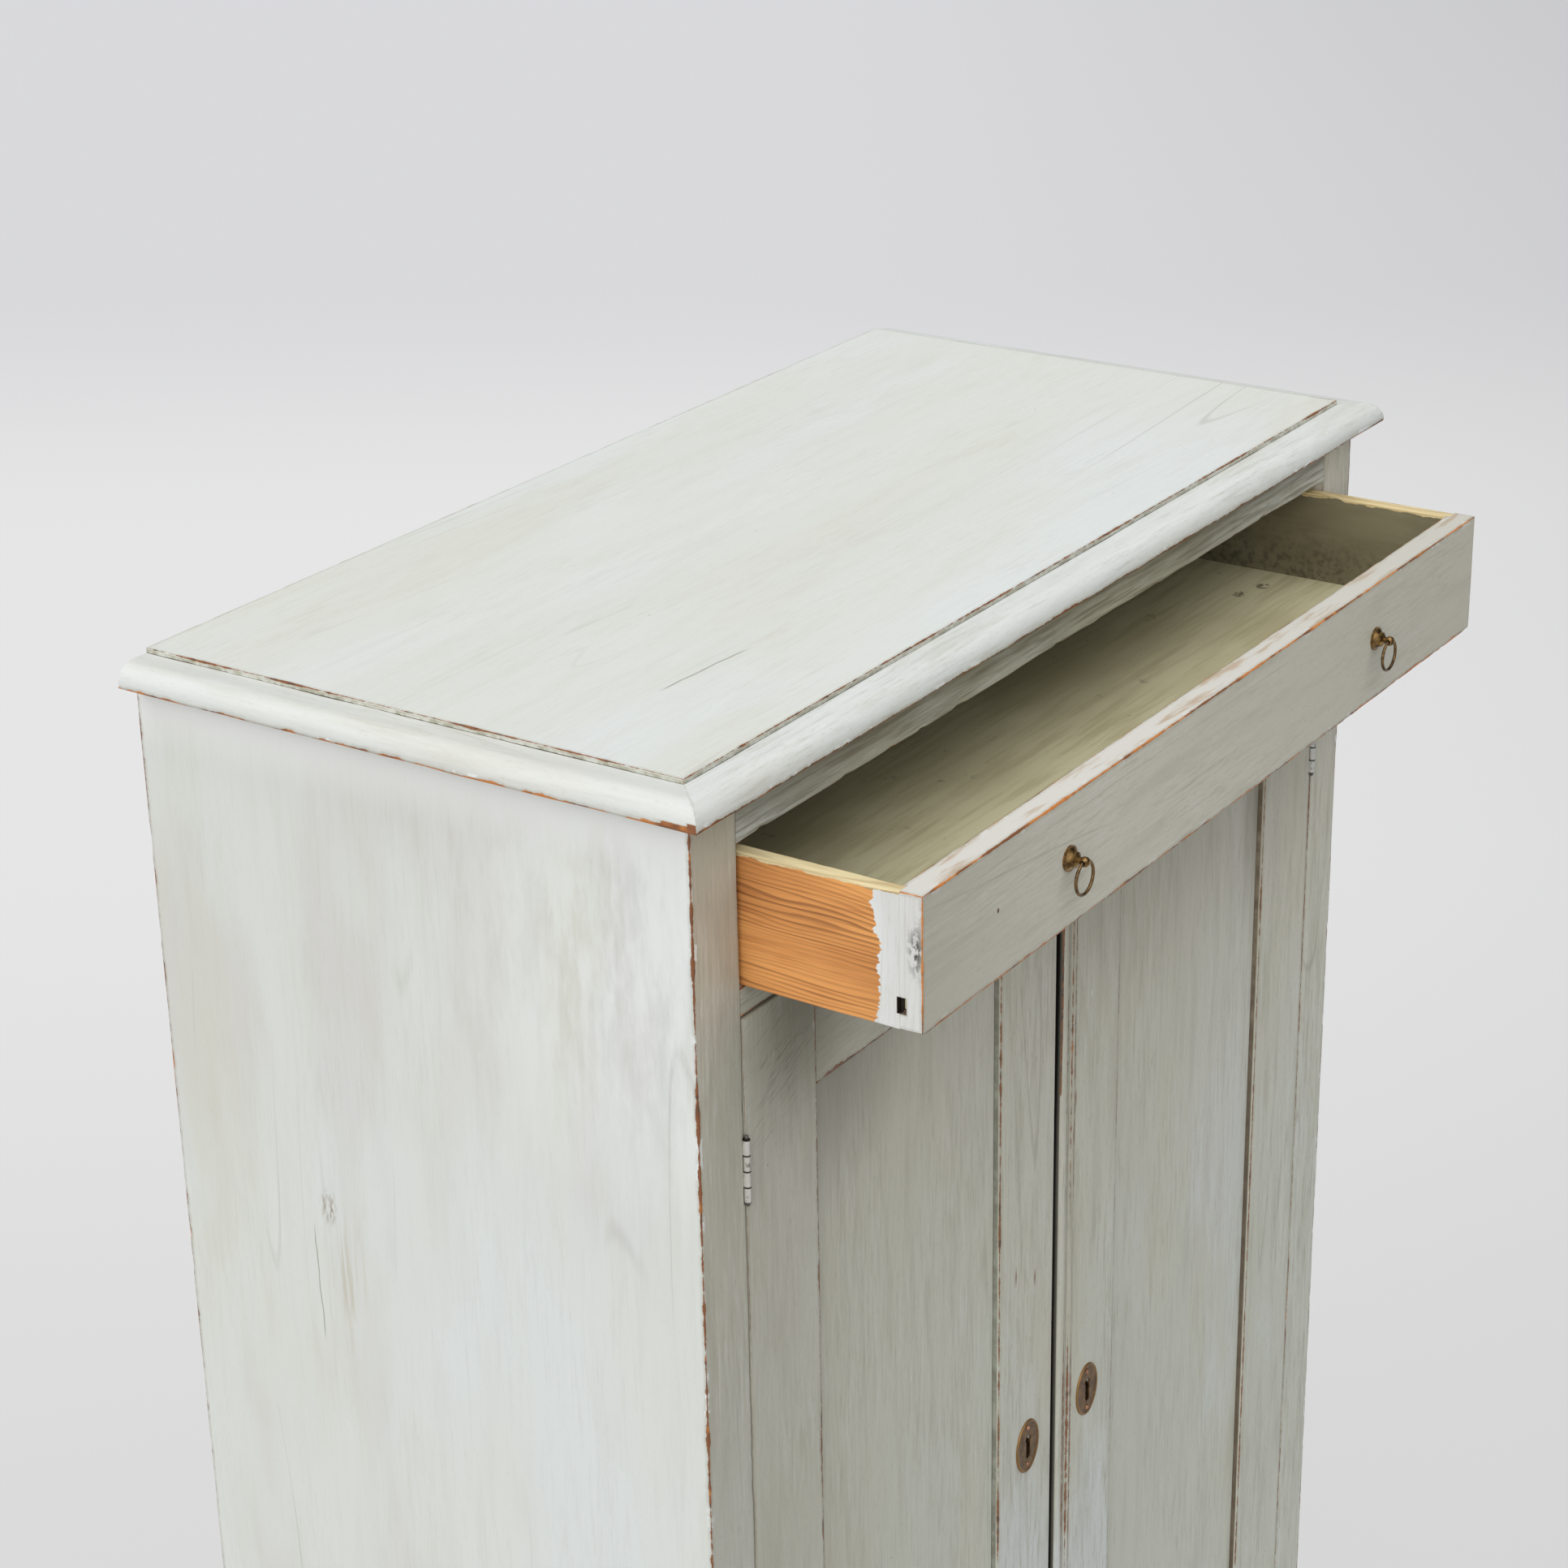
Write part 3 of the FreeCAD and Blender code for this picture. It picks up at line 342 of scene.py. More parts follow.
class Shader:
    """The nodes of one material, built by short calls that return sockets."""

    def __init__(self, name):
        self.material = bpy.data.materials.new(name)
        self.material.use_nodes = True
        self.tree = self.material.node_tree
        self.tree.nodes.clear()
        self.surface = self.add("ShaderNodeBsdfPrincipled")
        self.end = self.add("ShaderNodeOutputMaterial")
        self.tree.links.new(self.surface.outputs[0], self.end.inputs["Surface"])
        self.place = self.add("ShaderNodeTexCoord").outputs["Object"]
        split = self.add("ShaderNodeSeparateXYZ", {"Vector": self.place})
        self.x, self.y, self.z = (self.math("MULTIPLY", part, 1 / MM) for part in split.outputs)

    def add(self, kind, inputs=None, **settings):
        node = self.tree.nodes.new(kind)
        for key, value in settings.items():
            setattr(node, key, value)
        for key, value in (inputs or {}).items():
            self.feed(node.inputs[key], value)
        return node

    def feed(self, socket, value):
        if isinstance(value, bpy.types.NodeSocket):
            self.tree.links.new(value, socket)
        else:
            socket.default_value = value

    def math(self, operation, *values, clamp=False):
        node = self.add("ShaderNodeMath", operation=operation, use_clamp=clamp)
        for socket, value in zip(node.inputs, values):
            self.feed(socket, value)
        return node.outputs[0]

    def fade(self, value, low, high, most=1.0):
        """0 up to `low` and `most` from `high`, soft between them; falls instead where low is above high."""
        inputs = {"Value": value, "From Min": low, "From Max": high, "To Max": most}
        return self.add("ShaderNodeMapRange", inputs, interpolation_type="SMOOTHSTEP").outputs["Result"]

    def both(self, *shares):
        """Product of several shares."""
        result = shares[0]
        for share in shares[1:]:
            result = self.math("MULTIPLY", result, share)
        return result

    def mix(self, share, first, second):
        node = self.add("ShaderNodeMix", data_type="RGBA")
        for number, value in ((0, share), (6, first), (7, second)):
            self.feed(node.inputs[number], value)
        return node.outputs[2]

    def stretched(self, scale, offset=0.0, place=None):
        """Place on the piece, squeezed by a factor for each axis, so that marks run along the grain."""
        inputs = {
            "Vector": self.place if place is None else place,
            "Scale": scale,
            "Location": (offset, 0.7 * offset, 1.3 * offset),
        }
        return self.add("ShaderNodeMapping", inputs).outputs["Vector"]

    def turned(self, degrees):
        """Place on the piece, turned about the line that points out of the front."""
        inputs = {"Vector": self.place, "Angle": math.radians(degrees)}
        return self.add("ShaderNodeVectorRotate", inputs, rotation_type="Y_AXIS").outputs["Vector"]

    def noise(self, vector, scale, detail=2.0, rough=0.5, bend=0.0):
        inputs = {"Vector": vector, "Scale": scale, "Detail": detail, "Roughness": rough, "Distortion": bend}
        return self.add("ShaderNodeTexNoise", inputs).outputs["Fac"]

    def cloud(self, seed, scale, detail=2.0, rough=0.5):
        """Soft random marks of no direction."""
        return self.noise(self.stretched((1, 1, 1), seed), scale, detail, rough)

    def along(self, grain, squeeze, seed, scale, detail=2.0, rough=0.5, bend=0.0):
        """Soft random marks drawn out along the grain."""
        return self.noise(self.stretched(grain_scale(grain, squeeze), seed), scale, detail, rough, bend)

    def field(self, name):
        return self.add("ShaderNodeAttribute", attribute_name=name).outputs["Fac"]

    def axis(self, name):
        """One coordinate of the place on the piece, in millimetres."""
        return {"x": self.x, "y": self.y, "z": self.z}[name]

    def apart(self, first, second):
        """Distance between two values."""
        return self.math("ABSOLUTE", self.math("SUBTRACT", first, second))

    def off_middle(self):
        """Distance from the cupboard's middle plane, in millimetres."""
        return self.math("ABSOLUTE", self.x)

    def spot(self, centre, reach):
        """1 at a point and falling to 0 at the given reach along each axis."""
        middle = [c * MM for c in centre]
        near = self.add("ShaderNodeVectorMath", {0: self.place, 1: middle}, operation="SUBTRACT")
        size = [1 / (r * MM) for r in reach]
        scaled = self.add("ShaderNodeVectorMath", {0: near.outputs[0], 1: size}, operation="MULTIPLY")
        length = self.add("ShaderNodeVectorMath", {0: scaled.outputs[0]}, operation="LENGTH")
        return self.fade(length.outputs["Value"], 1.0, 0.0)

    def line(self, along, across, start, stop, width):
        """A thin wavering line; start and stop each give the place along and across, in millimetres."""
        place = self.axis(along)
        slope = (stop[1] - start[1]) / (stop[0] - start[0])
        middle = self.math("MULTIPLY_ADD", self.math("SUBTRACT", place, start[0]), slope, start[1])
        waver = self.cloud(start[0], 45, 3, 0.6)
        middle = self.math("MULTIPLY_ADD", self.math("SUBTRACT", waver, 0.5), 3.0, middle)
        off = self.apart(self.axis(across), middle)
        ends = 0.15 * (stop[0] - start[0])
        begin = self.fade(place, start[0], start[0] + ends)
        return self.both(self.fade(off, width, 0.3 * width), begin, self.fade(place, stop[0], stop[0] - ends))

    def specks(self, scale, size, share, seed):
        """Small round marks scattered over the surface, in a share of the cells."""
        cells = self.add("ShaderNodeTexVoronoi", {"Vector": self.stretched((1, 1, 1), seed), "Scale": scale})
        chosen = self.add("ShaderNodeSeparateColor", {"Color": cells.outputs["Color"]}).outputs[0]
        near = self.fade(cells.outputs["Distance"], size, 0.4 * size)
        return self.both(near, self.fade(chosen, share, 0.8 * share))

    def finish(self, colour, roughness, height=None, depth=0.0003, strength=0.3):
        """Joins the look to the surface; `depth` is the bump's depth in metres."""
        self.feed(self.surface.inputs["Base Color"], colour)
        self.feed(self.surface.inputs["Roughness"], roughness)
        if height is not None:
            inputs = {"Height": height, "Distance": depth, "Strength": strength}
            self.feed(self.surface.inputs["Normal"], self.add("ShaderNodeBump", inputs).outputs["Normal"])
        return self.material


def grain_scale(grain, squeeze):
    """A squeeze factor along the grain and 1 across it."""
    return tuple(squeeze if axis == grain else 1.0 for axis in "xyz")


def bare_wood(s, seed, orange):
    """Colour of the wood where the paint is rubbed off, with a share of fresh orange in it."""
    tone = s.cloud(seed + 3.1, 40, 3)
    warm = s.mix(s.fade(tone, 0.66 - 0.3 * orange, 0.8 - 0.3 * orange), BARE_BROWN, BARE_ORANGE)
    grime = s.cloud(seed + 8.2, 150, 2)
    return s.mix(s.fade(grime, 0.52, 0.68, 1.0 - 0.8 * orange), warm, BARE_DARK)


def painted_colour(s, grain, seed, base, streaks, tints=SIDE_TINTS, warm_top=0.0):
    """Colour and surface height of brushed, aged paint without its wear; `warm_top` is how much the paint
    yellows upwards, and with it the paint also darkens towards the left end of the front."""
    mauve = s.along(grain, 0.3, seed, 11, 3, 0.55)
    olive = s.along(grain, 0.25, seed + 1.9, 9, 3, 0.55)
    cool = s.along(grain, 0.3, seed + 3.4, 7, 3, 0.55)
    brush = s.along(grain, 0.12, seed + 4.7, 70, 3, 0.6)
    hair = s.along(grain, 0.07, seed + 6.1, 380, 4, 0.7)
    grit = s.along(grain, 0.25, seed + 7.5, 650, 2, 0.6)
    bare = s.along(grain, 0.4, seed + 13.1, 16, 2)
    busy = s.math("MULTIPLY_ADD", s.fade(bare, 0.38, 0.6), 0.8, 0.35)
    colour = s.mix(s.fade(mauve, 0.45, 0.66, tints[0]), base, PAINT_MAUVE)
    colour = s.mix(s.fade(olive, 0.48, 0.68, tints[1]), colour, PAINT_OLIVE)
    colour = s.mix(s.fade(cool, 0.48, 0.66, tints[2]), colour, PAINT_COOL)
    if warm_top:
        colour = s.mix(s.fade(s.z, 450, 1050, warm_top), colour, PAINT_WARM)
        # Darker towards the left end of the front.
        colour = s.mix(s.fade(s.x, -150, -420, 0.45), colour, HAIR)
    colour = s.mix(s.fade(brush, 0.45, 0.72, 0.14 * streaks), colour, HAIR)
    colour = s.mix(s.both(busy, s.fade(hair, 0.47, 0.72, 0.24 * streaks)), colour, HAIR)
    colour = s.mix(s.both(busy, s.fade(hair, 0.5, 0.32, 0.12 * streaks)), colour, PAINT_WHITE)
    colour = s.mix(s.fade(grit, 0.55, 0.72, 0.12 * streaks), colour, HAIR)
    contour = s.along(grain, 0.07, seed + 9.4, 12, 1, 0.4, 0.3)
    line = s.fade(s.math("PINGPONG", s.both(contour, 11.0), 0.5), 0.05, 0.0)
    shown = s.fade(s.along(grain, 0.3, seed + 11.2, 10, 2), 0.53, 0.66, 0.22)
    colour = s.mix(s.both(line, shown), colour, CRACK)
    height = s.math("MULTIPLY_ADD", hair, 0.4, s.both(brush, 0.6))
    return colour, height


def paint(name, grain, seed, base, streaks, tints, orange=0.3, faded=0.0, warm_top=0.0, lumps=1.0,
          flaked=0.9, marks=None):
    """Pale paint over pine, rubbed through along the edges. `faded` is the share of old paint left on the
    rubbed wood, `lumps` tells how uneven the rubbed edges are, and `flaked` how white the flakes are."""
    s = Shader(name)
    colour, height = painted_colour(s, grain, seed, base, streaks, tints, warm_top)
    colour = s.mix(s.both(s.specks(42, 0.035, 0.14, seed), 0.75), colour, CRACK)
    if marks:
        colour = marks(s, colour)
    edge = s.field("edge")
    rub = s.field("rub")
    long_wave = s.cloud(seed + 2.3, 22, 2, 0.6)
    short_wave = s.cloud(seed + 5.9, 150, 3, 0.65)
    patch = s.math("MAXIMUM", s.math("SUBTRACT", long_wave, 0.46), 0.0)
    reach = s.math("MULTIPLY_ADD", patch, 9.0 * lumps, 0.8)
    reach = s.math("MULTIPLY_ADD", s.math("SUBTRACT", short_wave, 0.5), 6.0 * lumps, reach)
    gap = s.math("SUBTRACT", s.both(rub, reach), edge)
    colour = s.mix(s.fade(gap, -2.5, 0.0, 0.35), colour, PAINT_DIRT)
    flake = s.cloud(seed + 12.5, 60, 3, 0.6)
    chips = s.both(s.fade(flake, 0.6, 0.64, flaked), s.fade(gap, -3.0, -1.2), s.fade(rub, 0.6, 0.8))
    colour = s.mix(chips, colour, PAINT_WHITE)
    worn = s.fade(gap, -0.1, 0.35)
    bare = s.mix(faded, bare_wood(s, seed, orange), PAINT_DIRT)
    colour = s.mix(worn, colour, bare)
    height = s.math("SUBTRACT", height, s.both(worn, 0.9))
    roughness = s.math("MULTIPLY_ADD", height, 0.12, 0.52)
    return s.finish(colour, roughness, height, depth=0.0004)


def pine_colour(s, grain, seed, light, dark, ring_depth=0.35):
    """Colour and surface height of pine whose year rings run along the grain; `ring_depth` darkens them."""
    drift = s.along(grain, 0.35, seed, 9, 2, 0.45)
    count = s.math("MULTIPLY_ADD", drift, 17.0, s.both(s.axis(ACROSS_GRAIN[grain]), 0.36))
    closer = s.along(grain, 0.08, seed + 1.7, 70, 2, 0.5)
    count = s.math("MULTIPLY_ADD", closer, 5.0, count)
    rings = s.math("FRACT", count)
    number = s.math("FLOOR", count)
    each = s.add("ShaderNodeTexWhiteNoise", {"W": number}, noise_dimensions="1D").outputs["Value"]
    fibre = s.along(grain, 0.03, seed + 3.3, 620, 3, 0.65)
    tone = s.along(grain, 0.3, seed + 7.7, 16, 3)
    bold = s.fade(s.along(grain, 0.1, seed + 5.2, 34, 2), 0.36, 0.56)
    bold = s.both(s.math("MULTIPLY_ADD", bold, 0.85, 0.15), s.math("MULTIPLY_ADD", each, 0.7, 0.3))
    late = s.both(s.fade(rings, 0.35, 0.85), s.fade(rings, 1.0, 0.92), bold)
    colour = s.mix(s.fade(tone, 0.46, 0.68, 0.4), light, dark)
    colour = s.mix(s.fade(fibre, 0.48, 0.7, 0.4), colour, dark)
    colour = s.mix(late, colour, s.mix(ring_depth, dark, BARE_DARK))
    return colour, s.math("MULTIPLY_ADD", rings, 0.4, s.both(fibre, 0.6))


def inside_colour(s, grain, seed):
    """Colour of the bare wood inside the cupboard and behind it."""
    return pine_colour(s, grain, seed, INSIDE_LIGHT, INSIDE_DARK)[0]


def inside_wood(name, grain, seed):
    """The bare wood inside the cupboard, with its year rings."""
    s = Shader(name)
    colour, height = pine_colour(s, grain, seed, INSIDE_LIGHT, INSIDE_DARK)
    return s.finish(colour, 0.62, height)


def olive_colour(s, grain, seed):
    """Colour and surface height of the grimy olive wash inside the drawer."""
    streak = s.along(grain, 0.07, seed, 150, 4, 0.65)
    cloud = s.along(grain, 0.5, seed + 2.2, 7, 3, 0.6)
    spots = s.cloud(seed + 5.1, 55, 4, 0.65)
    colour = s.mix(s.fade(cloud, 0.42, 0.66, 0.7), OLIVE, srgb(184, 172, 134))
    colour = s.mix(s.fade(streak, 0.42, 0.68, 0.8), colour, OLIVE_DARK)
    colour = s.mix(s.fade(spots, 0.63, 0.74, 0.4), colour, GRIME_AND_SHADE)
    return colour, streak


def drawer_inside(name, grain, seed):
    """The wash on the drawer's floor and back, with two dark stains near the right end of the floor."""
    s = Shader(name)
    colour, height = olive_colour(s, grain, seed)
    ragged = s.fade(s.cloud(seed + 1.2, 200, 3, 0.65), 0.36, 0.56)
    for place in ((336, 32, FLOOR_OF_DRAWER), (312, 39, FLOOR_OF_DRAWER)):
        stain = s.both(s.spot(place, (11, 8, 20)), ragged)
        colour = s.mix(s.fade(stain, 0.1, 0.6, 0.8), colour, GRIME_AND_SHADE)
    return s.finish(colour, 0.6, height)


def groove_end_shade(s):
    """1 inside the open end of the groove for the drawer's bottom, whose faces are painted dark there as
    painted shade.
    """
    inside = s.fade(s.off_middle(), DRAWER_END - 0.3, DRAWER_END - 0.8)
    deep = s.fade(s.apart(s.y, -98.0), 4.4, 3.8)
    high = s.fade(s.apart(s.z, 1094.1), 6.4, 5.8)
    return s.both(inside, deep, high)


def drawer_side(name, seed):
    """Orange pine outside, an olive wash inside that is much darkened and darker in blotches towards the
    bottom, a bare top edge and paint smeared over the front end.
    """
    s = Shader(name)
    colour, height = pine_colour(s, "y", seed, PINE_LIGHT, PINE_DARK, 0.5)
    out = s.off_middle()
    washed, _ = olive_colour(s, "y", seed + 4.0)
    blot = s.along("y", 0.3, seed + 5.0, 40, 4, 0.65)
    # The inner faces are darkened, with darker blotches towards the bottom.
    washed = s.mix(0.8, washed, GRIME_AND_SHADE)
    washed = s.mix(s.fade(blot, 0.4, 0.62, 0.35), washed, GRIME_AND_SHADE)
    low_dark = s.cloud(seed + 5.6, 190, 4, 0.65)
    low_dark = s.both(s.fade(low_dark, 0.46, 0.62, 0.45), s.fade(s.z, 1142, 1104))
    washed = s.mix(low_dark, washed, HOLE)
    colour = s.mix(s.fade(out, 367.9, 367.4), colour, washed)
    jag = s.noise(s.stretched((1, 0.25, 1), seed + 1.4), 130, 3, 0.65)
    wave = s.noise(s.stretched((1, 0.5, 1), seed + 9.4), 28, 2)
    limit = s.math("MULTIPLY_ADD", jag, 16.0, s.math("MULTIPLY_ADD", wave, 14.0, -97.0))
    smear = s.fade(s.math("SUBTRACT", limit, s.y), -0.2, 0.4)
    smear = s.both(smear, s.fade(out, DRAWER_END - 0.9, DRAWER_END - 0.3))
    white, _ = painted_colour(s, "z", seed + 2.0, PAINT_WHITE, 1.0)
    colour = s.mix(smear, colour, white)
    rim = s.cloud(seed + 6.6, 38, 4, 0.6)
    top = s.math("MULTIPLY_ADD", rim, 9.0, s.z)
    bare, _ = pine_colour(s, "y", seed + 3.0, CREAM, srgb(206, 178, 122))
    colour = s.mix(s.fade(top, 1165.3, 1165.9), colour, bare)
    # Painted shade inside the open end of the groove.
    colour = s.mix(groove_end_shade(s), colour, HOLE)
    return s.finish(colour, 0.58, height)


def metal(name, seed, light, dark, roughness, metallic):
    """Old metal with a clouded patina."""
    s = Shader(name)
    cloud = s.cloud(seed, 240, 4, 0.65)
    colour = s.mix(s.fade(cloud, 0.3, 0.62), dark, light)
    s.surface.inputs["Metallic"].default_value = metallic
    rough = s.math("MULTIPLY_ADD", cloud, 0.25, roughness - 0.12)
    return s.finish(colour, rough, cloud, depth=0.0002)


def hinge_paint():
    """Iron painted over with the wood, with dark lines between the knuckles and a painted shadow along the
    left hinges' knuckles on the side towards the door.
    """
    s = Shader("hinge_paint")
    colour, height = painted_colour(s, "z", 14.0, srgb(166, 166, 152), 1.6)
    dirt = s.cloud(14.6, 260, 3)
    colour = s.mix(s.fade(dirt, 0.55, 0.7, 0.7), colour, GRIME_AND_SHADE)
    for level in HINGE_LEVELS:
        from_middle = s.apart(s.z, level + HINGE_LENGTH / 2)
        near = s.fade(from_middle, 40, 39)
        along = s.math("MODULO", s.math("SUBTRACT", s.z, level), KNUCKLE_LENGTH)
        joint = s.fade(s.math("PINGPONG", along, KNUCKLE_LENGTH / 2), 0.9, 0.3)
        colour = s.mix(s.both(near, joint, 0.95), colour, HOLE)
        end = s.fade(from_middle, HINGE_LENGTH / 2 - 0.9, HINGE_LENGTH / 2)
        colour = s.mix(s.both(near, end, 0.85), colour, HOLE)
    # Painted shadow along the side of the left hinges' knuckles that faces the door.
    shadow_towards_door = s.both(s.fade(s.x, -378.9, -378.2, 0.95), s.fade(s.x, 1.0, 0.0))
    colour = s.mix(shadow_towards_door, colour, HOLE)
    return s.finish(colour, 0.5, height)


# Pieces


def light_under_moulding_and_whiter_corner(s, colour):
    """Painted light under the moulding, which cancels the shade the moulding casts, and whiter brush strokes
    at the upper front corner of a side.
    """
    # Painted light: the paint under the moulding is lightened towards white to cancel the moulding's shade.
    colour = s.mix(s.fade(s.z, 1152, 1198, 0.8), colour, srgb(250, 250, 248))
    strokes = s.fade(s.along("z", 0.25, 23.0, 60, 4, 0.65), 0.3, 0.62)
    corner = s.both(s.fade(s.y, 260, 40, 0.65), s.fade(s.z, 880, 1080))
    return s.mix(s.both(corner, strokes), colour, srgb(241, 243, 241))


def side_marks(s, colour):
    """The knot that shows through the paint of the left side, with the stain and the crack below it, the
    painted light under the moulding and the whiter corner strokes, and bare wood on the inner faces."""
    colour = light_under_moulding_and_whiter_corner(s, colour)
    fan = s.along("z", 0.06, 21.0, 220, 3, 0.6)
    below = s.both(s.spot((-HALF_WIDTH, 284, 822), (30, 24, 85)), s.fade(fan, 0.42, 0.66, 0.5))
    colour = s.mix(below, colour, srgb(184, 174, 142))
    ragged = s.along("z", 0.35, 22.0, 400, 3, 0.6)
    hollow = s.math("SUBTRACT", 1.0, s.spot((-HALF_WIDTH, 296, 874), (30, 4.5, 7)))
    ring = s.both(s.spot((-HALF_WIDTH, 295.5, 871), (30, 9, 16)), hollow, s.fade(ragged, 0.42, 0.6))
    colour = s.mix(ring, colour, srgb(128, 98, 66))
    crack = s.line("z", "y", (767, 307), (858, 309), 0.8)
    colour = s.mix(s.both(crack, 0.5), colour, CRACK)
    return s.mix(s.fade(s.off_middle(), 408.0, 407.4), colour, inside_colour(s, "z", 11.8))


def top_marks(s, colour):
    """The weathered step round the top board, dark along its foot, and bare wood on its back edge."""
    wave = s.cloud(31.0, 90, 4, 0.65)
    aged = s.mix(s.fade(wave, 0.38, 0.6), srgb(168, 166, 148), srgb(208, 209, 200))
    crack = s.line("x", "y", (-318, 105.5), (-226, 99.5), 0.9)
    colour = s.mix(s.both(crack, 0.6), colour, CRACK)
    colour = s.mix(s.fade(s.z, 1219.2, 1218.6), colour, aged)
    colour = s.mix(s.fade(s.math("ADD", wave, s.z), 1217.6, 1217.1), colour, srgb(62, 52, 40))
    back = box_mm("top_board")[1][1]
    behind = s.both(s.fade(s.y, back - 0.6, back - 0.2), s.fade(s.z, 1219.3, 1218.9))
    return s.mix(behind, colour, inside_colour(s, "x", 30.0))


def stile_marks_and_shade(s, colour):
    """Grime and painted shade beside the drawer, and the paint of the sides, with its painted light under the
    moulding, carried round the corners of the front stiles.
    """
    # Painted shade with some grime: both stiles darken beside the drawer, the left one fading out towards its
    # outer corner.
    grime_and_shade = s.both(s.fade(s.x, -HALF_WIDTH, -386, 0.26), s.fade(s.z, 1165, 1130), s.fade(s.z, 900, 1060))
    colour = s.mix(grime_and_shade, colour, GRIME_AND_SHADE)
    out = s.off_middle()
    side, _ = painted_colour(s, "z", 1.0, PAINT, SIDE_STREAKS)
    return s.mix(s.fade(out, HALF_WIDTH - 1.4, HALF_WIDTH - 0.4), colour, light_under_moulding_and_whiter_corner(s, side))


def rail_streaks_and_shade(s, colour):
    """Dark streaks along the rails, and painted shade of the moulding darkening the upper part of the top
    rail.
    """
    streak = s.along("x", 0.04, 38.0, 260, 4, 0.65)
    colour = s.mix(s.fade(streak, 0.44, 0.62, 0.55), colour, srgb(112, 104, 84))
    # Painted shade: the top rail darkens upwards, under the moulding.
    return s.mix(s.fade(s.z, 1172, 1192, 0.45), colour, GRIME_AND_SHADE)


def drawer_face_marks(s, colour):
    """Whiter ends with black scuffs, a top edge rubbed through in streaks, a fine crack and a nail's head."""
    white, _ = painted_colour(s, "z", 9.0, PAINT_WHITE, 1.0)
    rough = s.noise(s.stretched((1, 1, 0.6), 36.0), 260, 3, 0.65)
    scuffs = s.both(s.spot((-DRAWER_END, -108, 1130), (20, 8, 24)), s.fade(rough, 0.42, 0.56))
    white = s.mix(scuffs, white, srgb(66, 63, 56))
    colour = s.mix(s.fade(s.off_middle(), DRAWER_END - 1.2, DRAWER_END - 0.5), colour, white)
    streak = s.along("x", 0.12, 37.0, 130, 3, 0.6)
    top = s.mix(s.fade(streak, 0.5, 0.66, 0.7), srgb(216, 214, 207), srgb(182, 150, 114))
    colour = s.mix(s.fade(s.z, 1162.8, 1163.5), colour, top)
    # Painted shade inside the open end of the groove.
    colour = s.mix(groove_end_shade(s), colour, HOLE)
    colour = s.mix(s.fade(s.x, -200, 350, 0.34), colour, HAIR)
    crack = s.line("x", "z", (-376, 1151.5), (120, 1152), 0.7)
    colour = s.mix(s.both(crack, 0.15), colour, CRACK)
    nail = s.fade(s.spot((-294.5, DRAWER_FACE, 1123), (1.8, 20, 2.6)), 0.2, 0.5)
    return s.mix(nail, colour, BARE_DARK)


def drawer_shade_and_grime_on_right_door(s, colour):
    """Painted shade of the drawer, with some grime, darkening the upper part of the right door."""
    return s.mix(s.both(s.fade(s.x, -20, 20), s.fade(s.z, 830, 990, 0.17)), colour, GRIME_AND_SHADE)


def door_marks_and_shade(s, colour):
    """Painted shadow of the drawer, with some grime, on the upper left of the left door and over the right
    door; scuffs by the upper left hinge; a darker tone, partly grime and partly painted shade, on the edges
    behind the front face; painted shade in the gap between the doors; bare wood behind.
    """
    scratch = s.noise(s.stretched((0.07, 1, 1), 34.0, s.turned(24)), 800, 3, 0.6)
    scuffed = s.both(s.spot((-345, FRONT, 1015), (62, 30, 75)), s.fade(scratch, 0.52, 0.66, 0.5))
    colour = s.mix(scuffed, colour, srgb(84, 78, 66))
    # Painted shadow of the drawn-out drawer, with some grime, on the upper left of the left door.
    colour = s.mix(s.both(s.spot((-318, FRONT, 1042), (85, 30, 105)), 0.7), colour, GRIME_AND_SHADE)
    colour = drawer_shade_and_grime_on_right_door(s, colour)
    for x, z in ((-60.4, 724), (-34.6, 711), (20.0, 825.6), (17.9, 797.4)):
        colour = s.mix(s.both(s.spot((x, FRONT, z), (1.8, 30, 10)), 0.9), colour, BARE_BROWN)
    colour = s.mix(s.spot((40.6, FRONT, 898), (1.6, 20, 4)), colour, PAINT_WHITE)
    # Painted shade with grime: faces set back from the front face get a darker tone, darker and browner on
    # the right door and lower down, and darkest deep in the recesses.
    cloud = s.cloud(33.0, 60, 3, 0.6)
    grime_and_shade = s.mix(s.fade(cloud, 0.35, 0.65), srgb(162, 164, 152), srgb(128, 128, 116))
    browner = s.mix(s.fade(cloud, 0.35, 0.65), srgb(150, 138, 118), srgb(112, 98, 80))
    browner = s.mix(s.fade(s.z, 820, 690, 0.7), browner, srgb(92, 78, 64))
    grime_and_shade = s.mix(s.fade(s.x, 90, 200), grime_and_shade, browner)
    colour = s.mix(s.fade(s.y, 9.4, 10.4), colour, grime_and_shade)
    colour = s.mix(s.fade(s.y, 12.7, 13.5, 0.8), colour, srgb(92, 86, 72))
    # Painted shade of the gap between the doors: the meeting edges, bare dark wood, are made near black
    # towards the front.
    near = s.fade(s.off_middle(), 7.5, 6.8)
    deep = s.fade(s.y, 9.1, 9.7)
    facing = s.math("MAXIMUM", deep, s.fade(s.x, -0.2, -0.8))
    apart = s.math("MAXIMUM", deep, s.fade(s.x, -5.8, -4.8))
    dark = s.mix(s.fade(s.y, 13, 18), srgb(15, 10, 7), srgb(70, 56, 42))
    colour = s.mix(s.both(near, facing, apart), colour, dark)
    return s.mix(s.fade(s.y, 26.6, 27.4), colour, inside_colour(s, "z", 11.8))


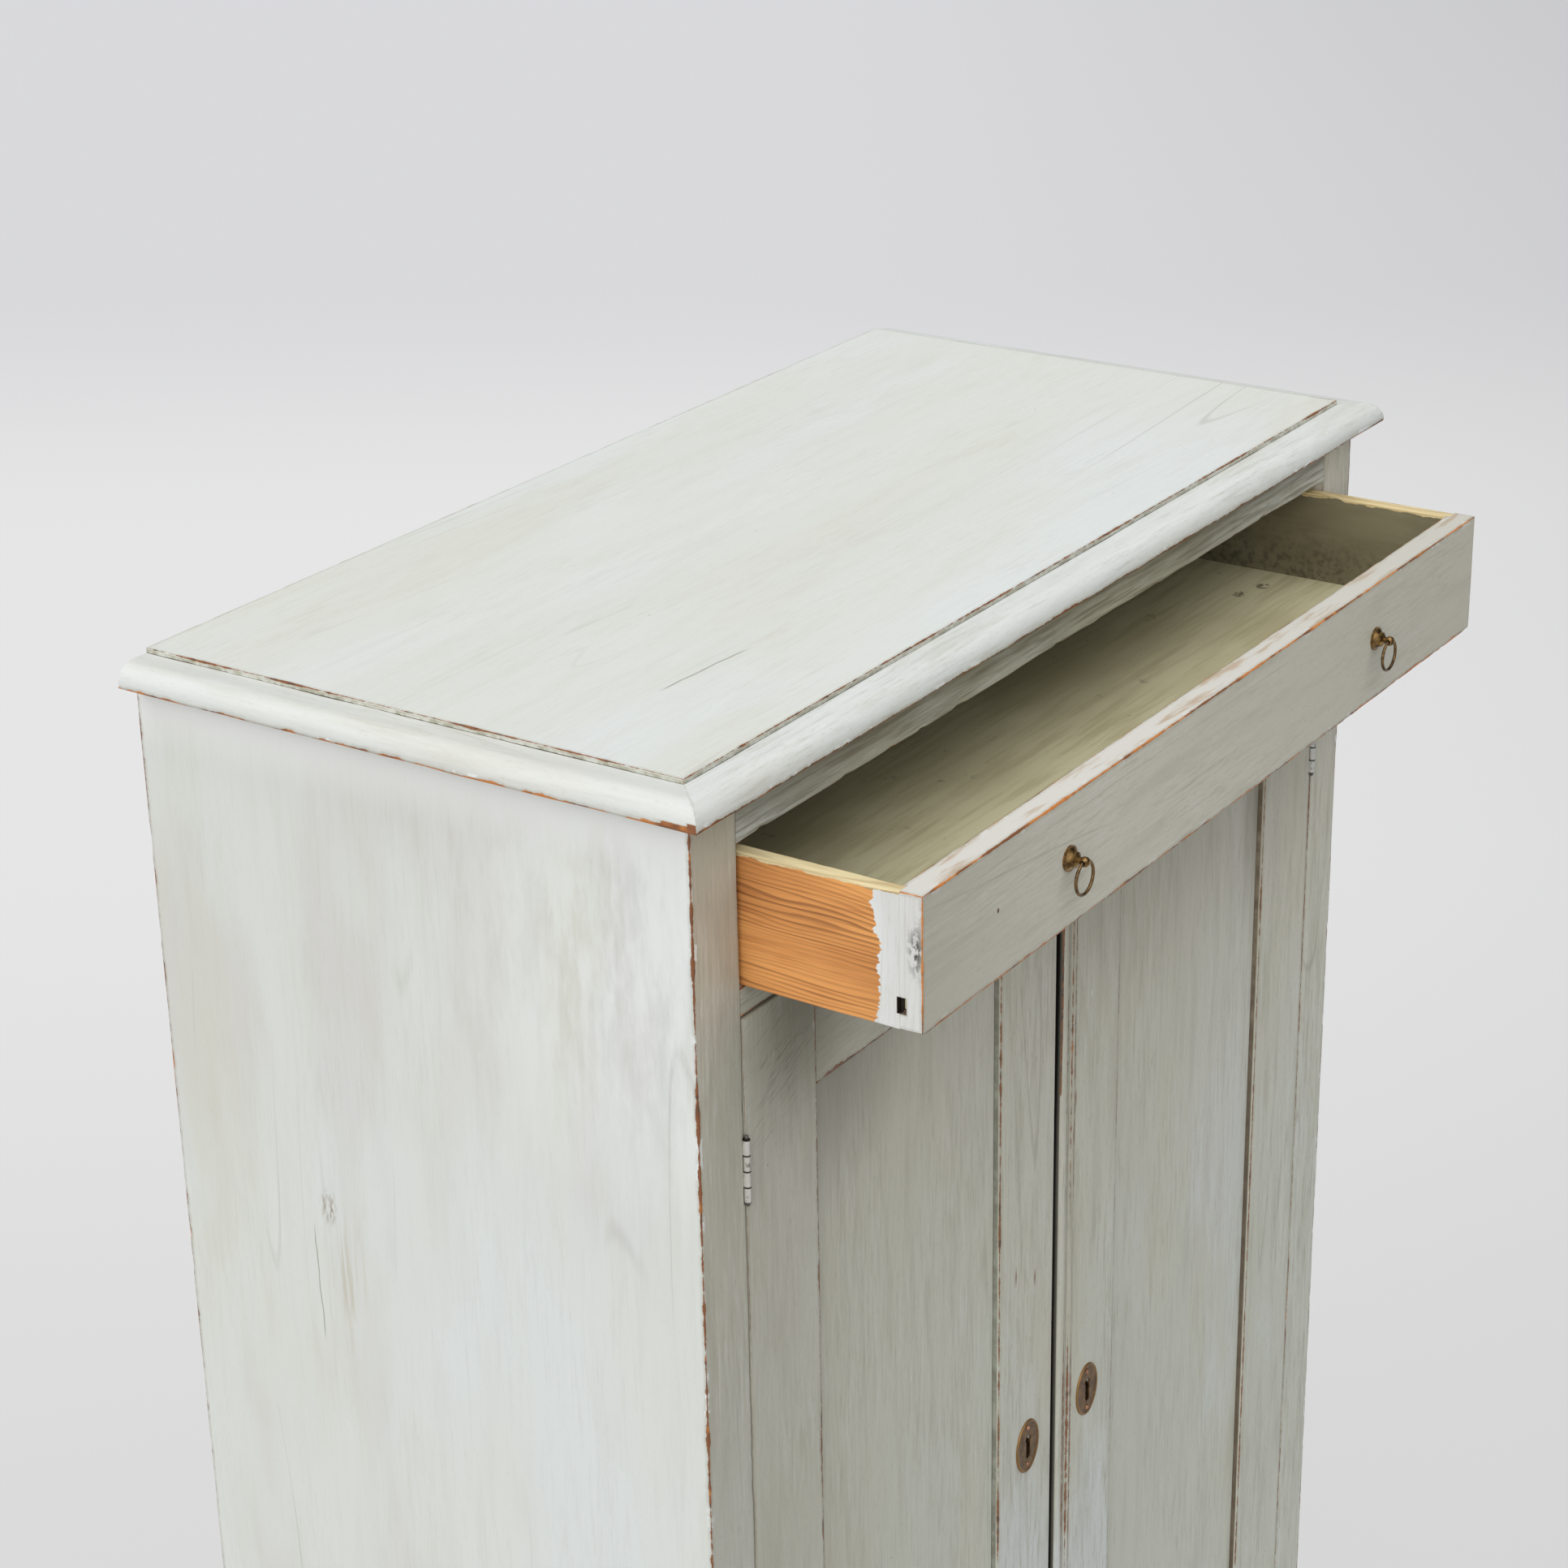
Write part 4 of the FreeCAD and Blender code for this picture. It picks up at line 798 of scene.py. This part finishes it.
def panel_marks_and_shade(s, colour):
    """Painted shadow of the drawer, with some grime, in the upper left of the left panel and over the right
    door's panel, a darker patch in the upper right of the right panel, and bare wood on their backs.
    """
    # Painted shadow of the drawn-out drawer, with some grime, in the upper left of the left panel.
    colour = s.mix(s.both(s.spot((-275, 14, 992), (130, 30, 125)), 0.45), colour, GRIME_AND_SHADE)
    # A darker patch in the upper right of the right panel.
    colour = s.mix(s.both(s.spot((305, 14, 960), (40, 30, 160)), 0.4), colour, GRIME_AND_SHADE)
    colour = drawer_shade_and_grime_on_right_door(s, colour)
    return s.mix(s.fade(s.y, 16.0, 17.0), colour, inside_colour(s, "z", 10.8))


def bolt_socket():
    """The hole in the underside of the drawer rail that takes the left door's upper bolt."""
    bolt_low, bolt_high = box_mm("upper_door_bolt")
    under = box_mm("drawer_rail")[0][2]
    radius = 0.5 * (bolt_high[0] - bolt_low[0])
    centre = bolt_low[:2] + radius
    room, depth = 0.7, 13.0
    return (*(centre - radius - room), under - 1), (*(centre + radius + room), under + depth)


def hinge_housings(sign, near, leaf, knuckle):
    """Hollows in an upright for the hinges' leaves and, a little longer and less deep, for their knuckles.
    `near`, `leaf` and `knuckle` tell how far from the middle the hollows start and end."""
    hollows = []
    for level in HINGE_LEVELS:
        for far, back, room in ((leaf, LEAF_DEPTH, 0.0), (knuckle, KNUCKLE_DEPTH, KNUCKLE_ROOM)):
            low_x, high_x = sorted((sign * near, sign * far))
            hollows.append(((low_x, 0, level - room), (high_x, back, level + HINGE_LENGTH + room)))
    return hollows


def make_carcass():
    side_paint = paint("side_paint", "z", 1.0, PAINT, SIDE_STREAKS, SIDE_TINTS, marks=side_marks)
    front_paint = paint("front_upright_paint", "z", 2.0, PAINT_FRONT, 2.6, FRONT_TINTS, warm_top=0.8,
                        lumps=0.7, marks=stile_marks_and_shade)
    # Painted shade: the rails get a darker paint than the rest of the front, for the shade under the moulding
    # and the drawer.
    shaded_rail_paint = paint("front_rail_paint", "x", 3.0, srgb(176, 175, 160), 3.4, FRONT_TINTS, marks=rail_streaks_and_shade)
    top_paint = paint("top_paint", "x", 4.0, PAINT, 0.6, TOP_TINTS, orange=0.1, lumps=0.7, marks=top_marks)
    board("top_board", top_paint, radius=0.8, sharp="-z", rub=0.35,
          strong=[("-y", "+z", 0.6), ("-x", "+z", 0.5)])
    back_low, back_high = box_mm("back_boards")
    for name, sign, outer, inner in SIDES:
        start, stop = (back_low[0], -400) if sign < 0 else (400, back_high[0])
        rebate = ((start, back_low[1], back_low[2]), (stop, back_high[1] + 5, back_high[2] + 5))
        board(f"{name}_side", side_paint, sharp=f"-y +z {inner}", rub=0.35, strong=[(outer, "+y", 0.6)],
              cutters=[rebate])
        board(f"{name}_stile", front_paint, radius=1.3, sharp="+y +z", rub=0.25,
              strong=[(outer, "-y", 0.85), (inner, "-y", 0.35)], step=4,
              cutters=hinge_housings(sign, OPENING - 1, 381.5, 381.9))
    inside = {"x": (-OPENING, OPENING)}
    board("top_rail", shaded_rail_paint, radius=2.6, sharp="+z -x +x", span=inside, rub=0.3)
    board("drawer_rail", shaded_rail_paint, sharp="-x +x +y", span=inside, rub=0.5, cutters=[bolt_socket()])
    board("bottom_rail", shaded_rail_paint, sharp="-x +x +y", span=inside)


def make_strips():
    """The rounded moulding under the top and the plinth, each in three mitred strips."""
    # For each form its profile, inner line, front line, back end, worn corner and rub.
    moulding = round_profile(26.2, 1201.5, 1216.5, 13.5, 1.5)
    plinth = round_profile(16.0, 0.0, 70.0, 10.0, 60.0)
    forms = {
        "moulding": (moulding, 416.3, 16.7, 416.0, (26.2, 1201.7), 1.25),
        "plinth": (plinth, HALF_WIDTH, FRONT, 419.0, (13.0, 67.0), 0.6),
    }
    along_front = paint("front_strip_paint", "x", 16.0, srgb(219, 222, 219), 1.6, STRIP_TINTS, lumps=0.4)
    along_side = paint("side_strip_paint", "y", 17.0, srgb(213, 216, 213), 1.3, STRIP_TINTS, orange=0.9,
                       lumps=0.4)
    for form, (profile, inner, front, back, worn, rub) in forms.items():
        for way in ("front", "left", "right"):
            points, mitre, faces = strip_shape(way, profile, inner, front, back, 4)
            sections = len(points) // len(profile)
            above = points[:, 2] - profile[0][1]
            upper = np.where(above > 9, mitre + 2.3, 40)
            edge = np.minimum(profile_gap(profile, [worn], sections), upper)
            whole = 1.0 if way == "front" else 0.33
            rubbed = np.where(soft_noise(points, 13, 8) > 0.34, rub, whole * rub)
            if form == "moulding" and way == "left":
                split = (above < 6.5 * (1 - mitre / 46)) & (edge < 9)
                edge = np.where(split, 0, edge)
                rubbed = np.where(split, 1.6, rubbed)
            points = points + 0.5 * (soft_noise(points, 30, 3)[:, None] - 0.5)
            look = along_front if way == "front" else along_side
            add_piece(f"{way}_{form}_wood", points, faces, look, [f"{way}_{form}"],
                      {"edge": edge, "rub": rubbed}, turn_out=True)


def make_drawer():
    face = paint("drawer_face_paint", "x", 5.0, srgb(214, 215, 203), 2.0, FRONT_TINTS, orange=0.8,
                 warm_top=0.7, lumps=0.35, flaked=0.4, marks=drawer_face_marks)
    side = drawer_side("drawer_side_wood", 7.0)
    groove = ((-OPENING, -101.4, 1089.45), (OPENING, -90, 1097.45))
    rebates = [((-OPENING, -97, 1070), (-367, -90, 1170)), ((367, -97, 1070), (OPENING, -90, 1170))]
    groove_end = ((-OPENING, -101.2, 1088.8), (-372, -94.9, 1099.4))
    rubbed = [("-y", "+z", 1.1), ("+y", "+z", 0.8), ("-y", "-z", 1.5), ("-y", "-x", 0.8), ("-y", "+x", 0.8)]
    board("drawer_front", face, radius=1.1, rub=0.6, strong=rubbed, step=4,
          cutters=[groove, *rebates, groove_end])
    board("drawer_left_side", side, radius=0.8, cutters=[groove_end])
    board("drawer_right_side", side, radius=0.8)
    board("drawer_back", drawer_inside("drawer_back_wash", "x", 6.0), radius=0.8)
    board("drawer_bottom", drawer_inside("drawer_bottom_wash", "x", 6.5), radius=0.8)


def upright(node, profile, wear, material):
    """An upright of one profile; `wear` gives each point's distance from a worn edge and its rub."""
    low, high = box_mm(node)
    places = np.linspace(low[2], high[2], round((high[2] - low[2]) / 4))
    points = np.array([(x, y, z) for z in places for x, y in profile])
    points, edge, rubbed = wear(points, len(places))
    faces = tube_faces(len(places), len(profile))
    return add_piece(f"{node}_wood", points, faces, material, [node],
                     {"edge": edge, "rub": rubbed}, turn_out=True)


def sharp_end(side, way, front):
    """Profile corners of a slightly worn front edge; `way` is the direction out of the board."""
    steps = [(0.0, 5.0), (0.0, 1.4), (-0.25, 0.5), (-1.0, 0.1), (-3.0, 0.0)]
    return [(side + way * across, front + deep) for across, deep in steps]


def plain_stile(material):
    """The left door's lock stile, its meeting edge rounded by use."""
    low, high = box_mm("left_door_lock_stile")
    (left, front), (right, back), radius = low[:2], high[:2], 5.0
    profile = [(left, back), *sharp_end(left, -1, front), (left + 12, front), (right - 16, front)]
    for angle in np.radians(np.linspace(90, 0, 9)):
        across, deep = radius * math.cos(angle), radius * math.sin(angle)
        profile.append((right - radius + across, front + radius - deep))
    profile += [(right, front + 9), (right, back)]

    def wear(points, sections):
        edge = profile_gap(profile, [(left + 0.2, front + 0.3)], sections)
        return points, edge, np.full(len(points), 0.7)

    return upright("left_door_lock_stile", profile, wear, material)


def bead_stile(material):
    """The right door's lock stile, with the worn bead and quirk along its meeting edge."""
    low, high = box_mm("right_door_lock_stile")
    (left, front), (right, back) = low[:2], high[:2]
    bead = [(0, 8), (0, 4), (0.4, 2.2), (1.4, 0.8), (3.2, 0.1), (6, 0), (8.3, 0), (9.5, 0), (10.6, 0.1)]
    quirk = [(11.6, 0.3), (12.7, 1.1), (13.2, 2.4), (14.6, 2.5), (15.5, 1.4), (16, 0.4), (16.8, 0)]
    flat = [(18.4, 0), (20, 0), (21.6, 0), (24, 0)]
    profile = [(left, back)] + [(left + across, front + deep) for across, deep in bead + quirk + flat]
    profile += [(right - 12, front), *reversed(sharp_end(right, 1, front)), (right, back)]

    def wear(points, sections):
        lines = [(0.8, 1.4), (9.5, 0.0), (12.4, 0.8), (16.1, 0.3), (20.0, 0.0)]
        worn = [(left + across, front + deep) for across, deep in lines] + [(right - 0.2, front)]
        edge = profile_gap(profile, worn, sections)
        along, height = points[:, 0] - left, points[:, 2]
        handled = 1.0 * np.exp(-((height - 540) / 75) ** 2) + 0.6 * np.exp(-((height - 870) / 110) ** 2)
        rubbed = np.where(along < 24, np.where(along < 5, 0.2, 0.1 + handled), 0.9)
        lost = np.clip((height - 800) / 200, 0, 1) * (1.6 + 1.8 * soft_noise(points, 40, 6))
        split = (along < 1.5) & (lost > 0.5) & (points[:, 1] < front + 1.5)
        edge = np.where(split, 0, edge)
        rubbed = np.where(split, 1.4, rubbed)
        points[:, 0] += lost * np.clip(1 - along / 9, 0, 1)
        return points, edge, rubbed

    return upright("right_door_lock_stile", profile, wear, material)


def make_doors():
    # Besides wear, these settings' marks paint shade of the drawer, in the recesses and in the gap between
    # the doors.
    wear = {"orange": 0.1, "faded": 0.1, "warm_top": 0.8, "lumps": 0.5, "flaked": 0.2, "marks": door_marks_and_shade}
    upright_paint = paint("door_upright_paint", "z", 8.0, PAINT_FRONT, 2.4, FRONT_TINTS, **wear)
    cross = paint("door_cross_paint", "x", 9.0, PAINT_FRONT, 2.4, FRONT_TINTS, **wear)
    panel = paint("door_panel_paint", "z", 10.0, PAINT_FRONT, 1.8, FRONT_TINTS, warm_top=0.8,
                  marks=panel_marks_and_shade)
    brass = make_key_plate_look()
    copper = metal("keyhole_pin_copper", 42.0, srgb(196, 146, 118), srgb(120, 84, 62), 0.35, 0.9)
    for name, sign, _, inner in SIDES:
        hinge_low, hinge_high = box_mm(f"{name}_door_hinge_stile")
        lock_low, lock_high = box_mm(f"{name}_door_lock_stile")
        between = (hinge_high[0], lock_low[0]) if sign < 0 else (lock_high[0], hinge_low[0])
        board(f"{name}_door_hinge_stile", upright_paint, rub=0.25, sharp="+y", step=5,
              strong=[(inner, "-y", 1.3 if sign < 0 else 0.6)],
              cutters=hinge_housings(sign, OPENING, 377, 376.6))
        lock_stile = plain_stile(upright_paint) if sign < 0 else bead_stile(upright_paint)
        key_low, key_high = box_mm(f"{name}_escutcheon")
        key_x, key_z = 0.5 * (key_low[0] + key_high[0]), 0.5 * (key_low[2] + key_high[2])
        key_slot = ((key_x - 3.0, 0, key_z - 10), (key_x + 3.0, 40, key_z + 9.5))
        carve(lock_stile, [key_slot])
        for level in ("top", "bottom"):
            board(f"{name}_door_{level}_rail", cross, rub=0.45, sharp="+y -x +x", span={"x": between}, step=5,
                  strong=[("-y", "-z" if level == "top" else "+z", 1.6)])
        board(f"{name}_door_panel", panel, rub=0.0)
        make_pegs(name, upright_paint)
        make_key_plate(name, key_x, key_z, key_low[1], brass, copper)


def make_pegs(name, material):
    """The ends of the pegs through a door's joints, standing a hair proud under the paint."""
    low, high = box_mm(f"{name}_door_pegs")
    radius, pair = 4, 26
    outer, inner = radius, radius + pair
    profile = [(0.01, 0.3), (2.4, 0.28), (3.4, 0.2), (3.9, 0.05), (radius, -0.2)]
    shapes = []
    for x in (low[0] + outer, low[0] + inner, high[0] - inner, high[0] - outer):
        for z in (low[2] + radius, high[2] - radius):
            shapes.append(lathe(profile, (x, low[1], z)))
    points, faces = joined(shapes)
    add_piece(f"{name}_door_peg_ends", points, faces, material, [f"{name}_door_pegs"],
              {"edge": np.full(len(points), 20.0), "rub": np.full(len(points), 0.3)}, turn_out=True)


def make_key_plate_look():
    s = Shader("keyhole_brass")
    cloud = s.cloud(41.0, 210, 4, 0.65)
    colour = s.mix(s.fade(cloud, 0.38, 0.64), srgb(96, 74, 50), srgb(134, 106, 74))
    colour = s.mix(s.field("rim"), colour, srgb(146, 112, 68))
    s.surface.inputs["Metallic"].default_value = 0.85
    return s.finish(colour, s.math("MULTIPLY_ADD", cloud, 0.25, 0.3), cloud, strength=0.4)


def key_outline(angle):
    """Distance from the keyhole's round centre to its outline, in the direction of an angle."""
    round_part, half_slot, slot_end = 3.4, 2.6, 15.5
    across, down = math.cos(angle), -math.sin(angle)
    if down <= 0:
        return round_part
    to_side = half_slot / max(abs(across), 1e-6)
    to_end = slot_end / down
    return max(round_part, min(to_side, to_end))


def make_key_plate(name, x, z, front, material, pin_material):
    """An oval keyhole plate with a raised rim, a keyhole and its two pins."""
    half_wide, half_high, lift, proud, pins_off = 15.2, 20.8, 6.0, 1.4, 15
    face = front + proud
    levels = [(0.0, 2.5), (0.0, -1.0), (0.06, -1.15), (0.3, -1.05), (0.6, -0.95), (0.84, -0.9), (0.885, -1.3),
              (0.94, -proud), (0.98, -1.1), (1.0, -0.6), (1.0, 0.05)]
    segments = 96
    points, rim = [], []
    for share, out in levels:
        for turn in np.linspace(0, 2 * math.pi, segments, endpoint=False):
            across, up = math.cos(turn), math.sin(turn)
            start = key_outline(turn)
            a = (across / half_wide) ** 2 + (up / half_high) ** 2
            b = 2 * lift * up / half_high ** 2
            c = (lift / half_high) ** 2 - 1
            end = (-b + math.sqrt(b * b - 4 * a * c)) / (2 * a)
            reach = start + share * (end - start)
            points.append((x + across * reach, face + out, z + lift + up * reach))
            rim.append(1.0 if share > 0.88 else 0.0)
    faces = tube_faces(len(levels), segments, closed=False)
    pin_head = [(0.01, 2.1), (0.9, 1.95), (1.6, 1.6), (1.9, 1.1), (1.9, 0.6)]
    pins = [lathe(pin_head, (x, face, z + side * pins_off), 20) for side in (-1, 1)]
    add_piece(f"{name}_keyhole_plate", points, faces, material, [f"{name}_escutcheon"],
              {"rim": rim}, turn_out=True)
    points, faces = joined(pins)
    add_piece(f"{name}_keyhole_pins", points, faces, pin_material, [f"{name}_escutcheon_pins"],
              turn_out=True)


def dress_cad_pieces():
    """Finishes for the pieces that keep their CAD shape."""
    rows = (
        (inside_wood("inside_wood_across", "x", 11.0), "inside_wood", "cupboard_floor shelves"),
        (inside_wood("inside_wood_deep", "y", 11.5), "inside_wood",
         "shelf_cleats drawer_runners drawer_guides drawer_kickers drawer_stops"),
        (inside_wood("inside_wood_upright", "z", 11.8), "inside_wood", "back_boards"),
        (metal("dark_iron_metal", 12.0, IRON_LIGHT, IRON_DARK, 0.6, 0.6), "dark_iron",
         "hinge_frame_screws left_door_hinge_screws right_door_hinge_screws lock_strike door_bolt_plates "
         "lock_case lock_bolt upper_door_bolt lower_door_bolt"),
        (metal("aged_brass_metal", 13.0, ROSE_LIGHT, ROSE_DARK, 0.28, 1.0), "aged_brass",
         "left_pull_rose right_pull_rose"),
        (metal("dull_brass_metal", 13.4, RING_LIGHT, RING_DARK, 0.25, 1.0), "aged_brass",
         "left_pull_ring right_pull_ring"),
        (hinge_paint(), "painted_iron",
         "hinge_frame_leaves hinge_pins left_door_hinge_leaves right_door_hinge_leaves"),
    )
    for material, slot, names in rows:
        for name in names.split():
            obj = frame["nodes"][name]
            obj.data.materials.clear()
            obj.data.materials.append(material)


# Stage


def make_floor():
    """A wide pale floor, a little greyer to one side and far behind; its lengths are metres. To the camera
    and in reflections it is mostly a glow of painted light, which keeps the cupboard's shadow on it faint.
    """
    s = Shader("floor_paper")
    split = s.add("ShaderNodeSeparateXYZ", {"Vector": s.place})
    away = s.math("MULTIPLY_ADD", split.outputs[1], 0.559, s.both(split.outputs[0], 0.829))
    aside = s.math("MULTIPLY_ADD", split.outputs[1], -0.829, s.both(split.outputs[0], 0.559))
    colour = s.mix(s.fade(away, 0.4, 2.4), srgb(236, 236, 236), srgb(249, 249, 249))
    colour = s.mix(s.fade(away, 3.6, 5.4), colour, srgb(234, 234, 237))
    colour = s.mix(s.fade(aside, -0.5, 3.2, 0.55), colour, srgb(192, 192, 194))
    s.finish(srgb(150, 150, 150), 0.9)
    s.surface.inputs["Specular IOR Level"].default_value = 0.0
    seen = s.add("ShaderNodeLightPath").outputs
    straight = s.math("MAXIMUM", seen["Is Camera Ray"], seen["Is Glossy Ray"])
    straight = s.math("MAXIMUM", straight, seen["Is Transmission Ray"])
    # Painted light: the floor glows for straight, glossy and transmission rays, which pales the shadow on it.
    glow = s.add("ShaderNodeEmission", {"Color": colour}).outputs[0]
    blend = s.add("ShaderNodeMixShader", {0: s.both(straight, 0.75), 1: s.surface.outputs[0], 2: glow})
    s.feed(s.end.inputs["Surface"], blend.outputs[0])
    half, below = 30, -0.0005
    points = [(-half, -half, below), (half, -half, below), (half, half, below), (-half, half, below)]
    mesh = bpy.data.meshes.new("floor")
    mesh.from_pydata(points, [], [(0, 1, 2, 3)])
    mesh.materials.append(s.material)
    floor = bpy.data.objects.new("floor", mesh)
    bpy.context.scene.collection.objects.link(floor)


def make_lights():
    """Even studio light, stronger from the left, and a pale surround beyond the floor."""
    world = bpy.data.worlds.new("studio")
    bpy.context.scene.world = world
    world.use_nodes = True
    tree = world.node_tree
    sky = tree.nodes["Background"]
    sky.inputs["Color"].default_value = (1.0, 1.0, 1.0, 1.0)
    sky.inputs["Strength"].default_value = 0.12
    beyond = tree.nodes.new("ShaderNodeBackground")
    beyond.inputs["Color"].default_value = srgb(228, 228, 231)
    seen = tree.nodes.new("ShaderNodeLightPath")
    blend = tree.nodes.new("ShaderNodeMixShader")
    tree.links.new(seen.outputs["Is Camera Ray"], blend.inputs[0])
    tree.links.new(sky.outputs[0], blend.inputs[1])
    tree.links.new(beyond.outputs[0], blend.inputs[2])
    tree.links.new(blend.outputs[0], tree.nodes["World Output"].inputs["Surface"])

    lamps = {
        "overhead_light": ((0.0, 0.0, 1.0), 1.15, 90),
        "side_light": ((-0.93, 0.0, 0.37), 1.10, 60),
        "front_light": ((-0.55, -0.42, 0.72), 1.90, 100),
    }
    for name, (toward, strength, spread) in lamps.items():
        lamp = bpy.data.lights.new(name, "SUN")
        lamp.angle = math.radians(spread)
        lamp.energy = strength
        obj = bpy.data.objects.new(name, lamp)
        obj.rotation_euler = Vector(toward).to_track_quat("Z", "Y").to_euler()
        bpy.context.scene.collection.objects.link(obj)


def make_camera():
    """The photograph's camera, solved from the cupboard's corners and edges; the eye is given in metres."""
    right = Vector((0.55267, -0.83319, -0.01887))
    up = Vector((0.33469, 0.20116, 0.92061))
    back = -Vector((0.76324, 0.51511, -0.39004))
    turn = Matrix((right, up, back)).transposed().to_4x4()
    lens = bpy.data.cameras.new("camera")
    lens.lens = 78.79
    lens.sensor_width = 36.0
    lens.clip_end = 200.0
    camera = bpy.data.objects.new("camera", lens)
    eye = (-1.8210, -0.99765, 1.9494)
    camera.matrix_world = Matrix.Translation(eye) @ turn
    bpy.context.scene.collection.objects.link(camera)
    bpy.context.scene.camera = camera
    bpy.context.scene.view_settings.view_transform = "Standard"


make_carcass()
make_strips()
make_drawer()
make_doors()
dress_cad_pieces()
make_floor()
make_lights()
make_camera()
